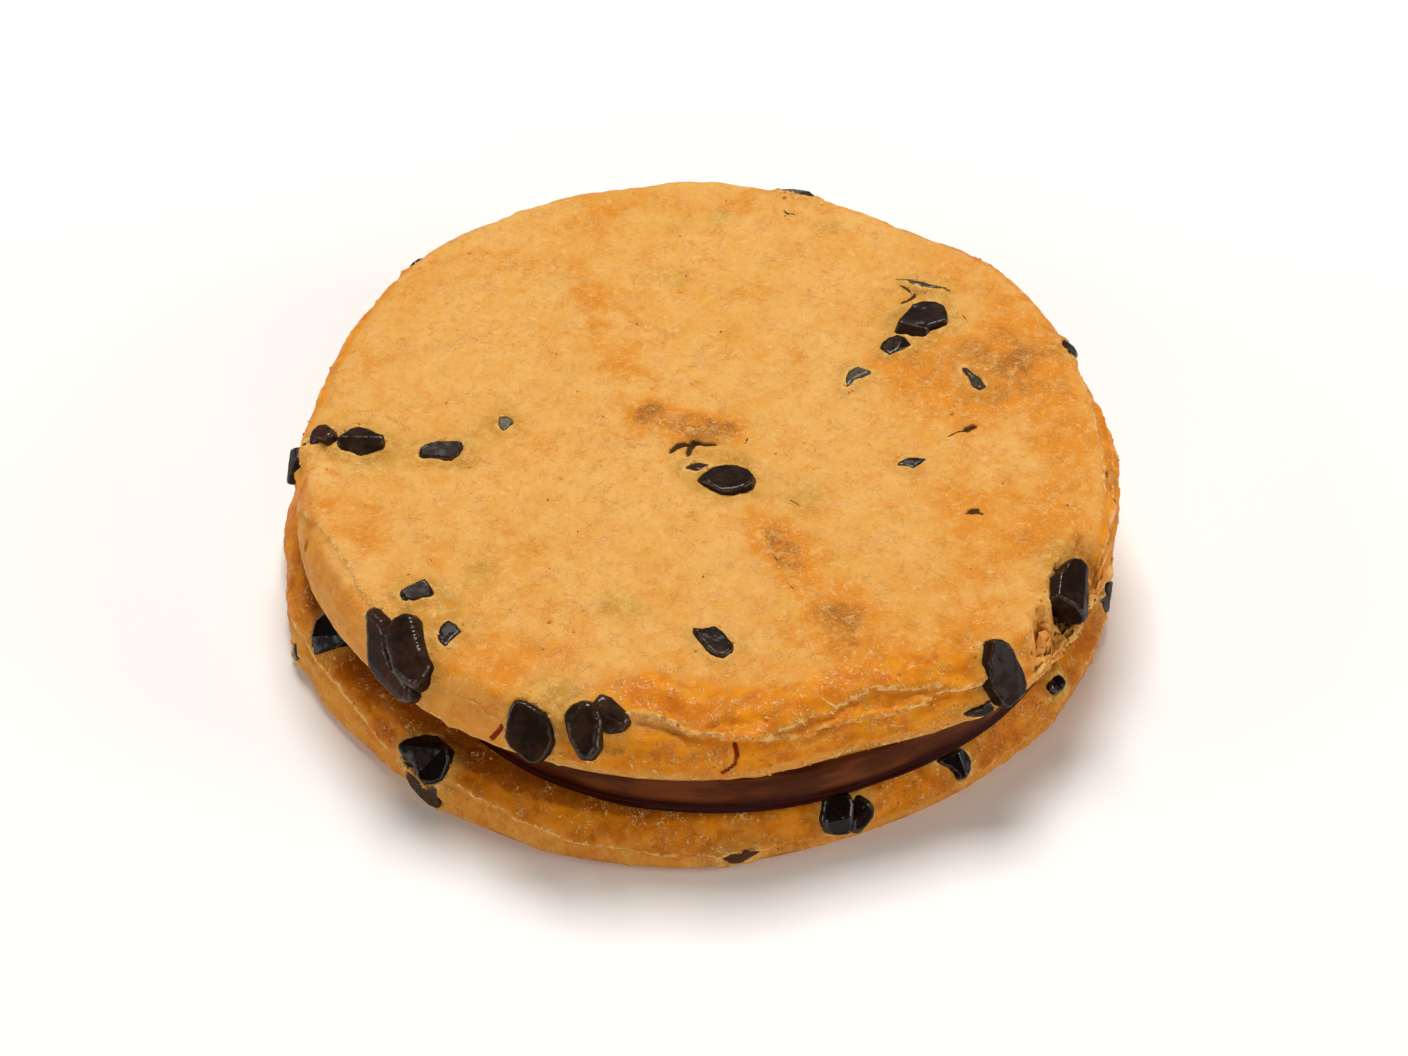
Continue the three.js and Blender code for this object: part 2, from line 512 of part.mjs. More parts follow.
const BOTTOM_EDGE_CHIPS = [
  {
    angle: 202.1, height: 6.1, facing: 58, depth: 2.4, facets: [[0.1, -0.1, 1], [-0.4, 0.3, 1.3]],
    outline: [
      [-2.6, 0.6], [-2.3, -0.4], [-1.3, -1.2], [-0.2, -1.8], [0.8, -2.2], [1.3, -1.9], [2.2, 0.5],
      [2.3, 1.5], [0.4, 1.6], [-0.8, 1.5], [-2.0, 1.2],
    ],
  },
  {
    angle: 229.9, height: 5.3, facing: 52, depth: 2.4,
    facets: [[0.1, 0.1, 1.2], [-0.35, 0.25, 1.7], [0.3, -0.45, 1.7]],
    outline: [
      [-2.0, -1.4], [-0.7, -1.4], [1.0, -2.4], [2.0, -1.9], [2.7, -1.1], [2.7, 0.8], [2.1, 1.8],
      [-0.2, 2.2], [-1.4, 1.8], [-3.1, 0.3], [-3.4, -0.6],
    ],
  },
  {
    angle: 230.7, height: 2.4, facing: 10, depth: 1.8, facets: [[0.05, 0.1, 0.6]],
    outline: [
      [-1.6, -0.6], [-0.4, -1.1], [0.9, -1.4], [2.0, -1.3], [2.1, -0.5], [1.6, 1.6], [0.7, 0.8],
      [-0.5, 0.6], [-1.6, 1.6], [-2.2, 1.5], [-2.4, 0.4],
    ],
  },
  {
    angle: 276.2, height: 2.0, facing: 6, depth: 1.6, facets: [[0.05, 0, 0.45], [-0.3, 0.1, 0.6]],
    outline: [
      [-1.7, -0.6], [-0.9, -1.1], [0.1, -1.0], [1.0, -0.6], [1.8, -0.3], [2.3, 0.3], [1.6, 0.8], [0.7, 1.0],
      [-0.1, 0.8], [-1.8, 0.6], [-2.1, 0.1],
    ],
  },
  {
    angle: 290.2, height: 4.4, facing: 34, depth: 2, facets: [[0.1, -0.25, 1], [0.1, 0.45, 1.2]],
    outline: [
      [-1.5, -0.7], [-1.2, -1.4], [-0.3, -1.8], [0.8, -1.9], [1.1, -1.2], [1.1, -0.3], [1.5, 0.7],
      [1.4, 1.5], [0.4, 1.8], [-0.7, 1.8], [-1.6, 0.0],
    ],
  },
  {
    angle: 293.4, height: 3.8, facing: 34, depth: 2, facets: [[-0.2, 0.2, 1.1], [0.3, -0.4, 1.2]],
    outline: [
      [-0.7, 0.6], [-0.9, -0.4], [-1.1, -1.3], [-0.7, -1.6], [1.1, -0.5], [1.2, 0.2], [0.8, 0.9],
      [0.3, 1.5], [-0.4, 1.4],
    ],
  },
  {
    angle: 309.8, height: 4.6, facing: 40, depth: 2, facets: [[0.25, 0.05, 0.9], [-0.45, 0.1, 1]],
    outline: [
      [-1.1, 0.1], [-0.6, -0.9], [-0.7, -1.5], [-0.1, -1.7], [0.8, -1.3], [1.4, -0.6], [1.3, 0.4],
      [0.8, 1.2], [0.1, 1.2], [-1.0, 1.2], [-2.1, 1.2],
    ],
  },
  {
    angle: 330.4, height: 4.8, facing: 46, depth: 1.5, facets: [[0.1, 0.2, 0.8], [-0.3, -0.5, 0.8]],
    outline: [
      [-1.3, 0.2], [-1.0, -0.4], [-0.2, -0.7], [0.5, -0.7], [1.2, -0.2], [1.3, 0.5], [0.5, 0.7], [0.1, 0.6],
      [-1.1, 0.7],
    ],
  },
  {
    angle: 350.7, height: 3.9, facing: 34, depth: 2, facets: [[0.1, 0.1, 0.5]],
    outline: [
      [-1.8, 0.2], [-1.3, -1.0], [-0.4, -0.8], [0.9, -0.5], [2.2, -0.3], [2.1, 0.6], [0.6, 0.7],
      [-0.3, 0.3], [-1.9, 1.1],
    ],
  },
  { angle: 198, height: 2.2, facing: 4, turn: 60, size: [2.6, 1.6, 2.0], rise: 0.5, square: 0.85, tip: 0.1 },
  { angle: 18, height: 4.2, facing: 30, turn: 20, size: [4.8, 3.6, 3.0], rise: 0.9, square: 0.8, tip: 0.2 },
  { angle: 63, height: 2.6, facing: 6, turn: -30, size: [4.4, 3.0, 2.6], rise: 0.6, square: 0.75, tip: 0.2 },
  { angle: 96, height: 4.6, facing: 38, turn: 10, size: [5.6, 4.0, 3.4], rise: 1.0, square: 0.9, tip: 0.1 },
  { angle: 147, height: 3.0, facing: 8, turn: 50, size: [4.6, 3.4, 2.8], rise: 0.7, square: 0.8, tip: 0.2 },
];
// Chips baked flush with the flat base, in its own plan
const BASE_CHIPS = [
  { x: 13, y: -20, turn: 40, size: [5.0, 3.8, 3.6], rise: 0.9, square: 0.85, tip: 0.2 },
  { x: -21, y: 9, turn: 110, size: [4.6, 3.4, 3.2], rise: 0.8, square: 0.8, tip: 0.1 },
  { x: 6, y: 24, turn: -30, size: [5.4, 4.0, 3.6], rise: 0.9, square: 0.9, tip: 0.3 },
  { x: -9, y: -30, turn: 70, size: [4.0, 3.0, 2.8], rise: 0.7, square: 0.8, tip: 0.2 },
];

// Where a chip sits and how it is turned
function facePlacement(biscuit, faceRelief, chip) {
  const z = biscuit.base + biscuit.thickness + faceRelief(chip.x, chip.y);
  return new THREE.Matrix4().makeTranslation(biscuit.centre[0] + chip.x, biscuit.centre[1] + chip.y, z);
}

function edgePlacement(biscuit, sideRelief, chip) {
  const [angle, slope, turn] = [chip.angle, chip.facing, chip.turn ?? 0].map(radians);
  const outwards = new THREE.Vector3(Math.cos(angle), Math.sin(angle), 0);
  const normal = outwards.clone().multiplyScalar(Math.cos(slope)).setZ(Math.sin(slope));
  const around = new THREE.Vector3(-Math.sin(angle), Math.cos(angle), 0);
  const upwards = new THREE.Vector3().crossVectors(normal, around);
  const long = around.clone().multiplyScalar(Math.cos(turn)).addScaledVector(upwards, Math.sin(turn));
  const edge = rimRadius(biscuit.rim, angle) - shoulderInset(biscuit, chip.height);
  const middle = new THREE.Vector3(...biscuit.centre, biscuit.base + chip.height)
    .addScaledVector(outwards, edge + sideRelief(angle, chip.height));
  return new THREE.Matrix4()
    .makeBasis(long, new THREE.Vector3().crossVectors(normal, long), normal)
    .setPosition(middle);
}

function basePlacement(chip) {
  const turned = new THREE.Matrix4().makeRotationZ(radians(chip.turn));
  return turned.multiply(new THREE.Matrix4().makeRotationX(Math.PI)).setPosition(chip.x, chip.y, 0);
}

const alfajor = new THREE.Group();
alfajor.name = "chocolate_chip_alfajor";

function addMesh(name, solid, material) {
  const mesh = new THREE.Mesh(toGeometry(solid), new THREE.MeshStandardMaterial(material));
  mesh.name = name;
  alfajor.add(mesh);
}

const ROOM = { width: 120, height: 40 };
const room = new THREE.BoxGeometry(ROOM.width, ROOM.width, ROOM.height);
const aboveBase = toSolid(room.translate(0, 0, ROOM.height / 2));

// Every chip with its placement, named by the biscuit it is baked into and its number there
const chips = [
  ...[
    ...FACE_CHIPS.map((chip) => [chip, facePlacement(TOP, topFace, chip)]),
    ...TOP_EDGE_CHIPS.map((chip) => [chip, edgePlacement(TOP, topSide, chip)]),
  ].map(([chip, placement], i) => ({ chip, placement, name: `top_chip_${i + 1}`, owner: "top" })),
  ...[
    ...BOTTOM_EDGE_CHIPS.map((chip) => [chip, edgePlacement(BOTTOM, bottomSide, chip)]),
    ...BASE_CHIPS.map((chip) => [chip, basePlacement(chip)]),
  ].map(([chip, placement], i) => ({ chip, placement, name: `bottom_chip_${i + 1}`, owner: "bottom" })),
];
for (const entry of chips) {
  entry.solid = chipSolid(entry.chip, entry.placement, 0).intersect(aboveBase);
  entry.socket = chipSolid(entry.chip, entry.placement, CLEARANCE);
}
// Where two chips meet, the later one gives way to the earlier
chips.forEach((entry, i) => {
  for (const earlier of chips.slice(0, i)) entry.solid = entry.solid.subtract(earlier.socket);
});

const sockets = wasm.Manifold.union(chips.map((entry) => entry.socket));
addMesh("bottom_biscuit", biscuitSolid(BOTTOM, bottomFace, bottomSide).subtract(sockets), CRUST);
addMesh("filling", fillingSolid().subtract(sockets), GANACHE);
addMesh("top_biscuit", biscuitSolid(TOP, topFace, topSide).subtract(sockets), CRUST);
for (const { name, solid } of chips) addMesh(name, solid, CHOCOLATE);

export default alfajor;
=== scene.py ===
# The looks of a chocolate chip alfajor: two baked biscuits with chocolate chips, and chocolate filling
# between them.
import math

import bmesh
import bpy
import numpy as np
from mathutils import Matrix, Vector, noise
from mathutils.bvhtree import BVHTree


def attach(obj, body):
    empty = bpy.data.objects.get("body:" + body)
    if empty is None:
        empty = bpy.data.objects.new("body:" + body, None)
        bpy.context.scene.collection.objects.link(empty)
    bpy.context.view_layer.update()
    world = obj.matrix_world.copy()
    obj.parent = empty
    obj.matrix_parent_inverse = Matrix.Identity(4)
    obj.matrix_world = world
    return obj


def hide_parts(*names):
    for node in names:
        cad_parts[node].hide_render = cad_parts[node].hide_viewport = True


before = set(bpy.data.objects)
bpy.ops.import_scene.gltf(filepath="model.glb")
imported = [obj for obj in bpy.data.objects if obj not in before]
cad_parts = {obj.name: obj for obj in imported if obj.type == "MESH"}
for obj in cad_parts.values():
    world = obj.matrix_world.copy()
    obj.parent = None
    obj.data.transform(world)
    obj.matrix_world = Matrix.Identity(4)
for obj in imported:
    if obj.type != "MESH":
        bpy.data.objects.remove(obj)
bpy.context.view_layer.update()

MM = 0.001


def add_object(name, data):
    """A new object in the scene."""
    made = bpy.data.objects.new(name, data)
    bpy.context.scene.collection.objects.link(made)
    return made


def modified_mesh(host):
    """The mesh of an object with its modifiers applied. The object itself is removed."""
    made = bpy.data.meshes.new_from_object(host.evaluated_get(bpy.context.evaluated_depsgraph_get()))
    bpy.data.objects.remove(host)
    return made


# The view: from above the front at the angle of the photograph, through a long lens.
LOOK_DOWN = math.radians(43.5)
VIEW_TARGET = Vector((1.0, -1.95, 9.0)) * MM
VIEW_DISTANCE = 1.0
LENS_MM = 249.5
SENSOR_MM = 36.0

camera = add_object("view", bpy.data.cameras.new("view"))
camera.data.lens = LENS_MM
camera.data.sensor_width = SENSOR_MM
camera.rotation_euler = (math.pi / 2 - LOOK_DOWN, 0, 0)
sight = Vector((0, math.cos(LOOK_DOWN), -math.sin(LOOK_DOWN)))
camera.location = VIEW_TARGET - sight * VIEW_DISTANCE
bpy.context.scene.camera = camera


# The table and the light: a plain white floor, and the large soft lamps of a studio. The main lamp hangs
# overhead and a little behind.
def srgb(red, green, blue):
    """A linear colour from the 0 to 255 values of a picture."""
    shares = [value / 255 for value in (red, green, blue)]
    return tuple(s / 12.92 if s <= 0.04045 else ((s + 0.055) / 1.055) ** 2.4 for s in shares) + (1.0,)


def link_mesh(name, points, faces, smooth=True):
    """A mesh object from points in millimetres."""
    mesh = bpy.data.meshes.new(name)
    mesh.from_pydata([tuple(p) for p in np.asarray(points) * MM], [], faces)
    mesh.shade_smooth() if smooth else mesh.shade_flat()
    return add_object(name, mesh)


class Nodes:
    """A node tree. node() adds a node to it and gives its output back as a Signal."""

    def __init__(self, tree):
        self.tree = tree
        tree.nodes.clear()

    def node(self, kind, settings=None, values=None, output=0):
        made = self.tree.nodes.new(kind)
        for key, value in (settings or {}).items():
            setattr(made, key, value)
        for key, value in (values or {}).items():
            socket = self.socket(made.inputs, key)
            if isinstance(value, Signal):
                self.tree.links.new(value.socket, socket)
            else:
                socket.default_value = value
        return Signal(self, self.socket(made.outputs, output)) if made.outputs else None

    @staticmethod
    def socket(sockets, key):
        """A socket by its number, or else by its identifier or name."""
        if isinstance(key, int):
            return sockets[key]
        return next(s for s in sockets if key in (s.identifier, s.name) and s.enabled)


class Finish(Nodes):
    """A material."""

    def __init__(self, name):
        self.material = bpy.data.materials.new(name)
        self.material.use_nodes = True
        super().__init__(self.material.node_tree)

    def mix(self, share, low, high):
        """Two colours mixed: share 0 gives the low one."""
        values = {"Factor_Float": share, "A_Color": low, "B_Color": high}
        return self.node("ShaderNodeMix", {"data_type": "RGBA"}, values, "Result_Color")

    def attribute(self, name):
        """What the mesh says at each of its points."""
        return self.node("ShaderNodeAttribute", {"attribute_name": name}, output="Fac")

    def place(self, offset=0.0, stretch=(1, 1, 1), turn=0.0):
        """Where a point lies on the piece, shifted by some metres."""
        where = self.node("ShaderNodeTexCoord", output="Object")
        values = {"Vector": where, "Location": (offset, offset * 2, -offset), "Rotation": (0, 0, turn)}
        return self.node("ShaderNodeMapping", {}, values | {"Scale": stretch})

    def warped(self, where, amount, size):
        """A place pushed about by some millimetres, in lumps of a size."""
        push = self.node("ShaderNodeTexNoise", {}, {"Vector": where, "Scale": 1 / (size * MM)}, "Color")
        values = {0: push, 1: (amount * MM,) * 3, 2: where}
        return self.node("ShaderNodeVectorMath", {"operation": "MULTIPLY_ADD"}, values)

    def clouds(self, size, detail=2.0, rough=0.5, where=None, distortion=0.0):
        """Noise about 0 to 1 with a middle of 0.5, whose lumps are about size millimetres."""
        values = {"Vector": where or self.place(size * 0.37), "Scale": 1 / (size * MM), "Detail": detail}
        values |= {"Roughness": rough, "Distortion": distortion}
        return self.node("ShaderNodeTexNoise", {}, values, "Fac")

    def cells(self, size, feature, where, output="Distance"):
        """Distances in a pattern of cells about size millimetres wide, 1 being the size of a cell."""
        values = {"Vector": where, "Scale": 1 / (size * MM)}
        return self.node("ShaderNodeTexVoronoi", {"feature": feature}, values, output)

    def surface(self, values, bump=None, bump_distance=0.0):
        """Ends the material with a shader whose sockets have these values."""
        if bump is not None:
            height = {"Height": bump, "Distance": bump_distance}
            values = values | {"Normal": self.node("ShaderNodeBump", {}, height)}
        shader = self.node("ShaderNodeBsdfPrincipled", {}, values)
        self.node("ShaderNodeOutputMaterial", {}, {"Surface": shader})
        return self.material


class Signal:
    """The output of a node. Arithmetic on it adds Math nodes."""

    def __init__(self, nodes, socket):
        self.nodes = nodes
        self.socket = socket

    def math(self, operation, first, second=0.0):
        return self.nodes.node("ShaderNodeMath", {"operation": operation}, {0: first, 1: second})

    def __add__(self, other):
        return self.math("ADD", self, other)

    def __sub__(self, other):
        return self.math("SUBTRACT", self, other)

    def __mul__(self, other):
        return self.math("MULTIPLY", self, other)

    def __rsub__(self, other):
        return self.math("SUBTRACT", other, self)

    __radd__ = __add__
    __rmul__ = __mul__

    def capped(self):
        """Kept between 0 and 1."""
        return self.nodes.node("ShaderNodeClamp", {}, {"Value": self})

    def rising(self, low, high):
        """0 below low and 1 above high, smooth between them."""
        values = {"Value": self, "From Min": low, "From Max": high}
        return self.nodes.node("ShaderNodeMapRange", {"interpolation_type": "SMOOTHSTEP"}, values)


FLOOR_REACH = 3000.0
corners = ((-1, -1), (1, -1), (1, 1), (-1, 1))
floor = link_mesh("floor", [(x * FLOOR_REACH, y * FLOOR_REACH, 0) for x, y in corners], [(0, 1, 2, 3)])
white = Finish("white_table")
floor.data.materials.append(white.surface({"Base Color": srgb(250, 249, 247), "Roughness": 0.6}))


def lamp(name, place, size, power, colour):
    """A square lamp that faces the middle of the biscuit."""
    light = bpy.data.lights.new(name, "AREA")
    light.size = size
    light.energy = power
    light.color = colour
    made = add_object(name, light)
    made.location = place
    made.rotation_euler = (VIEW_TARGET - Vector(place)).to_track_quat("-Z", "Y").to_euler()


lamp("main_lamp", (-0.03, 0.42, 1.0), 0.5, 9.9, (1.0, 0.99, 0.975))
lamp("front_lamp", (0.0, -1.1, 0.42), 0.7, 2.6, (1.0, 0.97, 0.93))
lamp("left_lamp", (-1.05, -0.25, 0.4), 0.6, 3.2, (1.0, 0.98, 0.95))
lamp("right_lamp", (1.05, -0.3, 0.42), 0.6, 4.8, (1.0, 0.98, 0.95))

sky = bpy.data.worlds.new("sky")
sky.use_nodes = True
sky.node_tree.nodes["Background"].inputs["Color"].default_value = (1.0, 0.94, 0.86, 1.0)
sky.node_tree.nodes["Background"].inputs["Strength"].default_value = 0.12
bpy.context.scene.world = sky
bpy.context.scene.view_settings.view_transform = "Standard"


# The bottom biscuit: a disc of shortcrust dough, pressed by hand, baked golden and lying on its flat base.
# Its top edge rounds over and shines like honey where butter has baked it brown. Inwards, towards the
# filling under the top biscuit, it is painted darker: painted shade. Below a thin ledge its side is pale.
BOTTOM = {
    "centre": (0.0, 0.0),
    "base": 0.0,
    "thickness": 6.2,
    "rim": (42.8, 42.4, 42.5, 42.2, 42.6, 42.8, 42.4, 42.3, 42.3, 42.4, 42.2, 43.0, 42.6, 41.5, 42.0, 42.7),
    "shoulder": 3.4,
    "widest_at": 2.4,
    "heel": 0.8,
}
SPLIT = {"start": 294, "end": 303, "fade": 2.5}
# Edges of dough layers on the side: how far they stand out, and their (clock angle, height along the side)
BOTTOM_LEDGES = (
    (0.32, ((186, 3.2), (192, 3.4), (200, 4.6), (212, 4.7), (217, 4.3), (221, 3.3), (226, 3.0), (232, 3.9))),
    (
        0.36,
        (
            (234, 4.4), (240, 4.3), (246, 3.7), (252, 3.2), (257, 2.9), (263, 2.7), (268, 2.4), (280, 2.1),
            (291, 1.7),
        ),
    ),
    (0.4, ((304, 1.5), (312, 2.3), (322, 2.0), (335, 2.7), (347, 2.2))),
    (0.32, ((350, 3.6), (6, 4.2), (24, 3.4), (40, 3.9))),
    (0.22, ((34, 2.2), (52, 2.9), (70, 2.3), (88, 3.1))),
    (0.2, ((80, 4.3), (97, 3.7), (118, 4.3), (130, 3.8))),
    (0.24, ((122, 2.3), (140, 3.0), (160, 2.4), (181, 2.9))),
)
RIM_SEGMENTS = 832
CORE_SEGMENTS = 13
FINE_STEP = 0.32
GOLDEN_ANGLE = 2.39996
# How far dough sinks under a chip, how far from one it changes colour, and how high it swells against one
EMBEDDED = 0.5
CHIP_REACH = 3
CHIP_SWELL = 0.42


def rim_radius(rim, angle):
    """A radius at any angle, smooth through the equal steps of a rim."""
    turns = (angle / math.tau) % 1 * len(rim)
    step = np.floor(turns).astype(int)
    t = turns - step
    a, b, c, d = (np.take(rim, step + k, mode="wrap") for k in (-1, 0, 1, 2))
    return b + 0.5 * t * (c - a + t * (2 * a - 5 * b + 4 * c - d + t * (3 * (b - c) + d - a)))


def bell(distance, width):
    return np.exp(-((distance / width) ** 2))


def smooth(value, low, high):
    """0 below low and 1 above high, smooth between them."""
    t = np.clip((value - low) / (high - low), 0, 1)
    return t * t * (3 - 2 * t)


def within(angle, start, end, fade):
    """How far an angle lies inside a stretch of the clock, in degrees, fading at both ends."""
    away = angle - math.radians((start + end) / 2)
    away = np.degrees(np.abs(np.arctan2(np.sin(away), np.cos(away))))
    return 1 - smooth(away, (end - start) / 2 - fade, (end - start) / 2 + fade)


def lumps(x, y, seed):
    """Slow lumps of hand-pressed dough: waves whose direction turns by the golden angle."""
    lengths = (31, 22, 16, 11.5, 8.5)
    total = 0
    for i, length in enumerate(lengths):
        turn = GOLDEN_ANGLE * (i + seed)
        along = x * math.cos(turn) + y * math.sin(turn)
        total = total + length / lengths[0] * np.sin(math.tau * along / length + turn * seed)
    return total


def to_line(x, y, points):
    """Distance from places to a line drawn through several points."""
    nearest = np.full(np.shape(x), np.inf)
    for (x0, y0), (x1, y1) in zip(points, points[1:]):
        dx, dy = x1 - x0, y1 - y0
        t = np.clip(((x - x0) * dx + (y - y0) * dy) / (dx * dx + dy * dy), 0, 1)
        nearest = np.minimum(nearest, np.hypot(x - x0 - t * dx, y - y0 - t * dy))
    return nearest


def grain(points, size, octaves, seed):
    """Fractal noise of about -1 to 1 at points, whose lumps are about size millimetres."""
    shift = Vector((seed * 17.3, seed * -9.1, seed * 5.7))
    return np.array([noise.fractal(Vector(p) / size + shift, 1.0, 2.0, octaves) for p in points])


def crumbled(points, size, seed):
    """Cells about size millimetres wide: how far points are from a cell's edge, and the cells' numbers."""
    shift = Vector((seed * 11.1, seed * 3.3, seed * -7.9))
    found = [noise.voronoi(Vector(p) / size + shift) for p in points]
    return (
        np.array([distances[1] - distances[0] for distances, _ in found]),
        np.array([noise.cell(places[0] * 37.0) for _, places in found]),
    )


class Skin:
    """The points of a biscuit's surface before its relief: where they are, and which way the surface faces.

    lean is 0 on the face, a quarter turn on the side and a half turn underneath. along is the height along
    the surface, from the table up the side and on over the face."""

    def __init__(self, biscuit, face_hidden, base_step):
        rim_mean = sum(biscuit["rim"]) / len(biscuit["rim"])
        thickness, widest, heel = biscuit["thickness"], biscuit["widest_at"], biscuit["heel"]
        shoulder = biscuit["shoulder"]
        rings = []
        radius = FINE_STEP * 2
        while radius < rim_mean - shoulder - FINE_STEP / 2:
            rings.append((rim_mean - radius, thickness, 0.0))
            radius += FINE_STEP * (4 if radius < face_hidden else 1)
        steps = round(math.hypot(shoulder, thickness - widest) * 1.12 / FINE_STEP)
        for lean in np.linspace(0, math.pi / 2, steps + 1):
            height = widest + (thickness - widest) * math.cos(lean)
            rings.append((shoulder * (1 - math.sin(lean)), height, lean))
        steps = round((widest - heel) / FINE_STEP)
        for share in np.arange(1, steps + 1) / steps:
            rings.append((0.1 * share, widest - (widest - heel) * share, math.pi / 2))
        for lean in np.linspace(math.pi / 2, math.pi, 5)[1:]:
            rings.append((0.1 - heel * math.cos(lean), heel * math.sin(lean), lean))
        radius = rim_mean - heel - 0.1 - FINE_STEP
        while radius > base_step:
            rings.append((rim_mean - radius, 0.0, math.pi))
            radius -= base_step

        inset, height, lean = np.array(rings).T
        travelled = np.concatenate([[0], np.cumsum(np.hypot(np.diff(inset), np.diff(height)))])
        heel_at = np.argmax(lean > math.pi / 2 + 0.01) - 1
        along = travelled[heel_at] - travelled + heel
        self.counts = []
        for value, tilt in zip(inset, lean):
            spacing = base_step if tilt == math.pi else FINE_STEP
            wanted = math.tau * (rim_mean - value) / (spacing * 1.05) / CORE_SEGMENTS
            doublings = max(0, math.ceil(math.log2(max(wanted, 1))))
            self.counts.append(min(RIM_SEGMENTS, CORE_SEGMENTS * 2**doublings))

        def spread(values, first, last):
            return np.concatenate([[first], np.repeat(values, self.counts), [last]])

        self.angle = np.concatenate([[0.0], *(math.tau * np.arange(n) / n for n in self.counts), [0.0]])
        self.inset = spread(inset, rim_mean, rim_mean)
        self.height = spread(height, thickness, 0.0)
        self.lean = spread(lean, 0.0, math.pi)
        self.along = spread(along, along[0], along[-1])
        reach = rim_mean - self.inset
        self.radius = reach + (rim_radius(biscuit["rim"], self.angle) - rim_mean) * (reach / rim_mean) ** 2
        self.x = self.radius * np.cos(self.angle)
        self.y = self.radius * np.sin(self.angle)
        self.out = np.sin(self.lean)
        self.up = np.cos(self.lean)
        self.face = self.lean < math.pi / 2 + 0.1
        self.under = self.lean > math.pi - 0.1
        self.biscuit = biscuit

    def points(self, rise=0.0, swell=0.0, drop=0.0):
        """The points with relief: rise lifts the face, swell goes the way a point faces, drop lowers it."""
        x0, y0 = self.biscuit["centre"]
        z = self.height + rise * np.maximum(self.up, 0) + swell * self.up
        x = x0 + self.x + swell * self.out * np.cos(self.angle)
        y = y0 + self.y + swell * self.out * np.sin(self.angle)
        return np.stack([x, y, self.biscuit["base"] + z - drop], 1)

    def faces(self):
        """Quads between the rings, and triangles where the next ring has twice or half as many points."""
        made = []
        starts = np.cumsum([1, *self.counts]).tolist()
        for a, b, inner, outer in zip(starts, starts[1:], self.counts, self.counts[1:]):
            steps = min(inner, outer)
            for i in range(steps):
                j = (i + 1) % steps
                if inner == outer:
                    made.append((a + i, b + i, b + j, a + j))
                elif outer > inner:
                    o, p, q = b + 2 * i, b + 2 * i + 1, b + (2 * i + 2) % outer
                    made += [(a + i, o, p), (a + i, p, a + j), (a + j, p, q)]
                else:
                    o, p, q = a + 2 * i, a + 2 * i + 1, a + (2 * i + 2) % inner
                    made += [(o, b + i, p), (p, b + i, b + j), (p, b + j, q)]
        first, last = self.counts[0], self.counts[-1]
        made += [(0, 1 + i, 1 + (i + 1) % first) for i in range(first)]
        end = starts[-2]
        made += [(end + i, end + last, end + (i + 1) % last) for i in range(last)]
        return made


def ledges(skin, table, points, seed):
    """Ragged edges of dough layers on the side: how far they stand out, and how near they are."""
    swell = np.zeros(len(points))
    edge = np.zeros(len(points))
    ragged = 0.3 * grain(points, 2.4, 2, seed) + 0.12 * grain(points, 0.8, 2, seed + 1)
    for drop, line in table:
        angles, heights = zip(*line)
        above = skin.along - np.interp(np.degrees(skin.angle), angles, heights, period=360) + ragged
        last = angles[-1] + 360 * (angles[-1] < angles[0])
        shown = within(skin.angle, angles[0], last, 2.5) * (1 - skin.under)
        standing = smooth(above, -0.08, 0.14) * (1 - smooth(above, 0.2, 2.0)) - 0.6 * bell(above + 0.35, 0.4)
        swell += drop * shown * standing
        nearness = np.where(above > 0, 1 - above / 1.5, 1 + above / 0.3)
        edge = np.maximum(edge, shown * nearness * min(1, 2 * drop + 0.4))
    return swell, edge


class Chip:
    """A chip's solid in millimetres: its merged mesh, and how far places are from it."""

    def __init__(self, node):
        bare = bmesh.new()
        bare.from_mesh(node.data)
        bmesh.ops.scale(bare, vec=(1 / MM,) * 3, verts=bare.verts)
        bmesh.ops.remove_doubles(bare, verts=bare.verts, dist=0.001)
        self.mesh = bpy.data.meshes.new(node.name + "_merged")
        bare.to_mesh(self.mesh)
        self.tree = BVHTree.FromBMesh(bare)
        corners = np.array([vertex.co for vertex in bare.verts])
        bare.free()
        self.middle = corners.mean(0)
        self.half = np.linalg.norm(corners - self.middle, axis=1).max()

    def away(self, points):
        """How far points are from the surface, negative inside, where a ray first meets a face's back."""
        way = Vector((0.31, 0.47, 0.83))
        far = np.array([self.tree.find_nearest(Vector(point))[3] for point in points])
        met = [self.tree.ray_cast(Vector(point), way)[1] for point in points]
        return far * [-1 if normal and normal.dot(way) > 0 else 1 for normal in met]


def store(piece, **marks):
    """Keeps values from 0 to 1 at the points of a piece, for its material."""
    for name, values in marks.items():
        layer = piece.data.attributes.new(name, "FLOAT", "POINT")
        layer.data.foreach_set("value", np.clip(values, 0, 1).astype(np.float32))


def around_chips(points, owner, seed):
    """How dough meets its chips: how far it swells there, and how near the chips are, from 0 at 3 mm to 1."""
    swell = np.zeros(len(points))
    near_chip = np.zeros(len(points))
    for i, (name, chip) in enumerate(chips.items()):
        near = np.linalg.norm(points - chip.middle, axis=1) < chip.half + 4
        if not name.startswith(owner) or not near.any():
            continue
        away = chip.away(points[near])
        ragged = away + 0.4 * grain(points[near], 1.0, 2, seed + i)
        swell[near] += CHIP_SWELL * bell(ragged - 0.3, 0.55) - EMBEDDED * (1 - smooth(away, -0.5, 0.0))
        near_chip[near] = np.maximum(near_chip[near], 1 - np.maximum(away, 0) / CHIP_REACH)
    return swell, near_chip


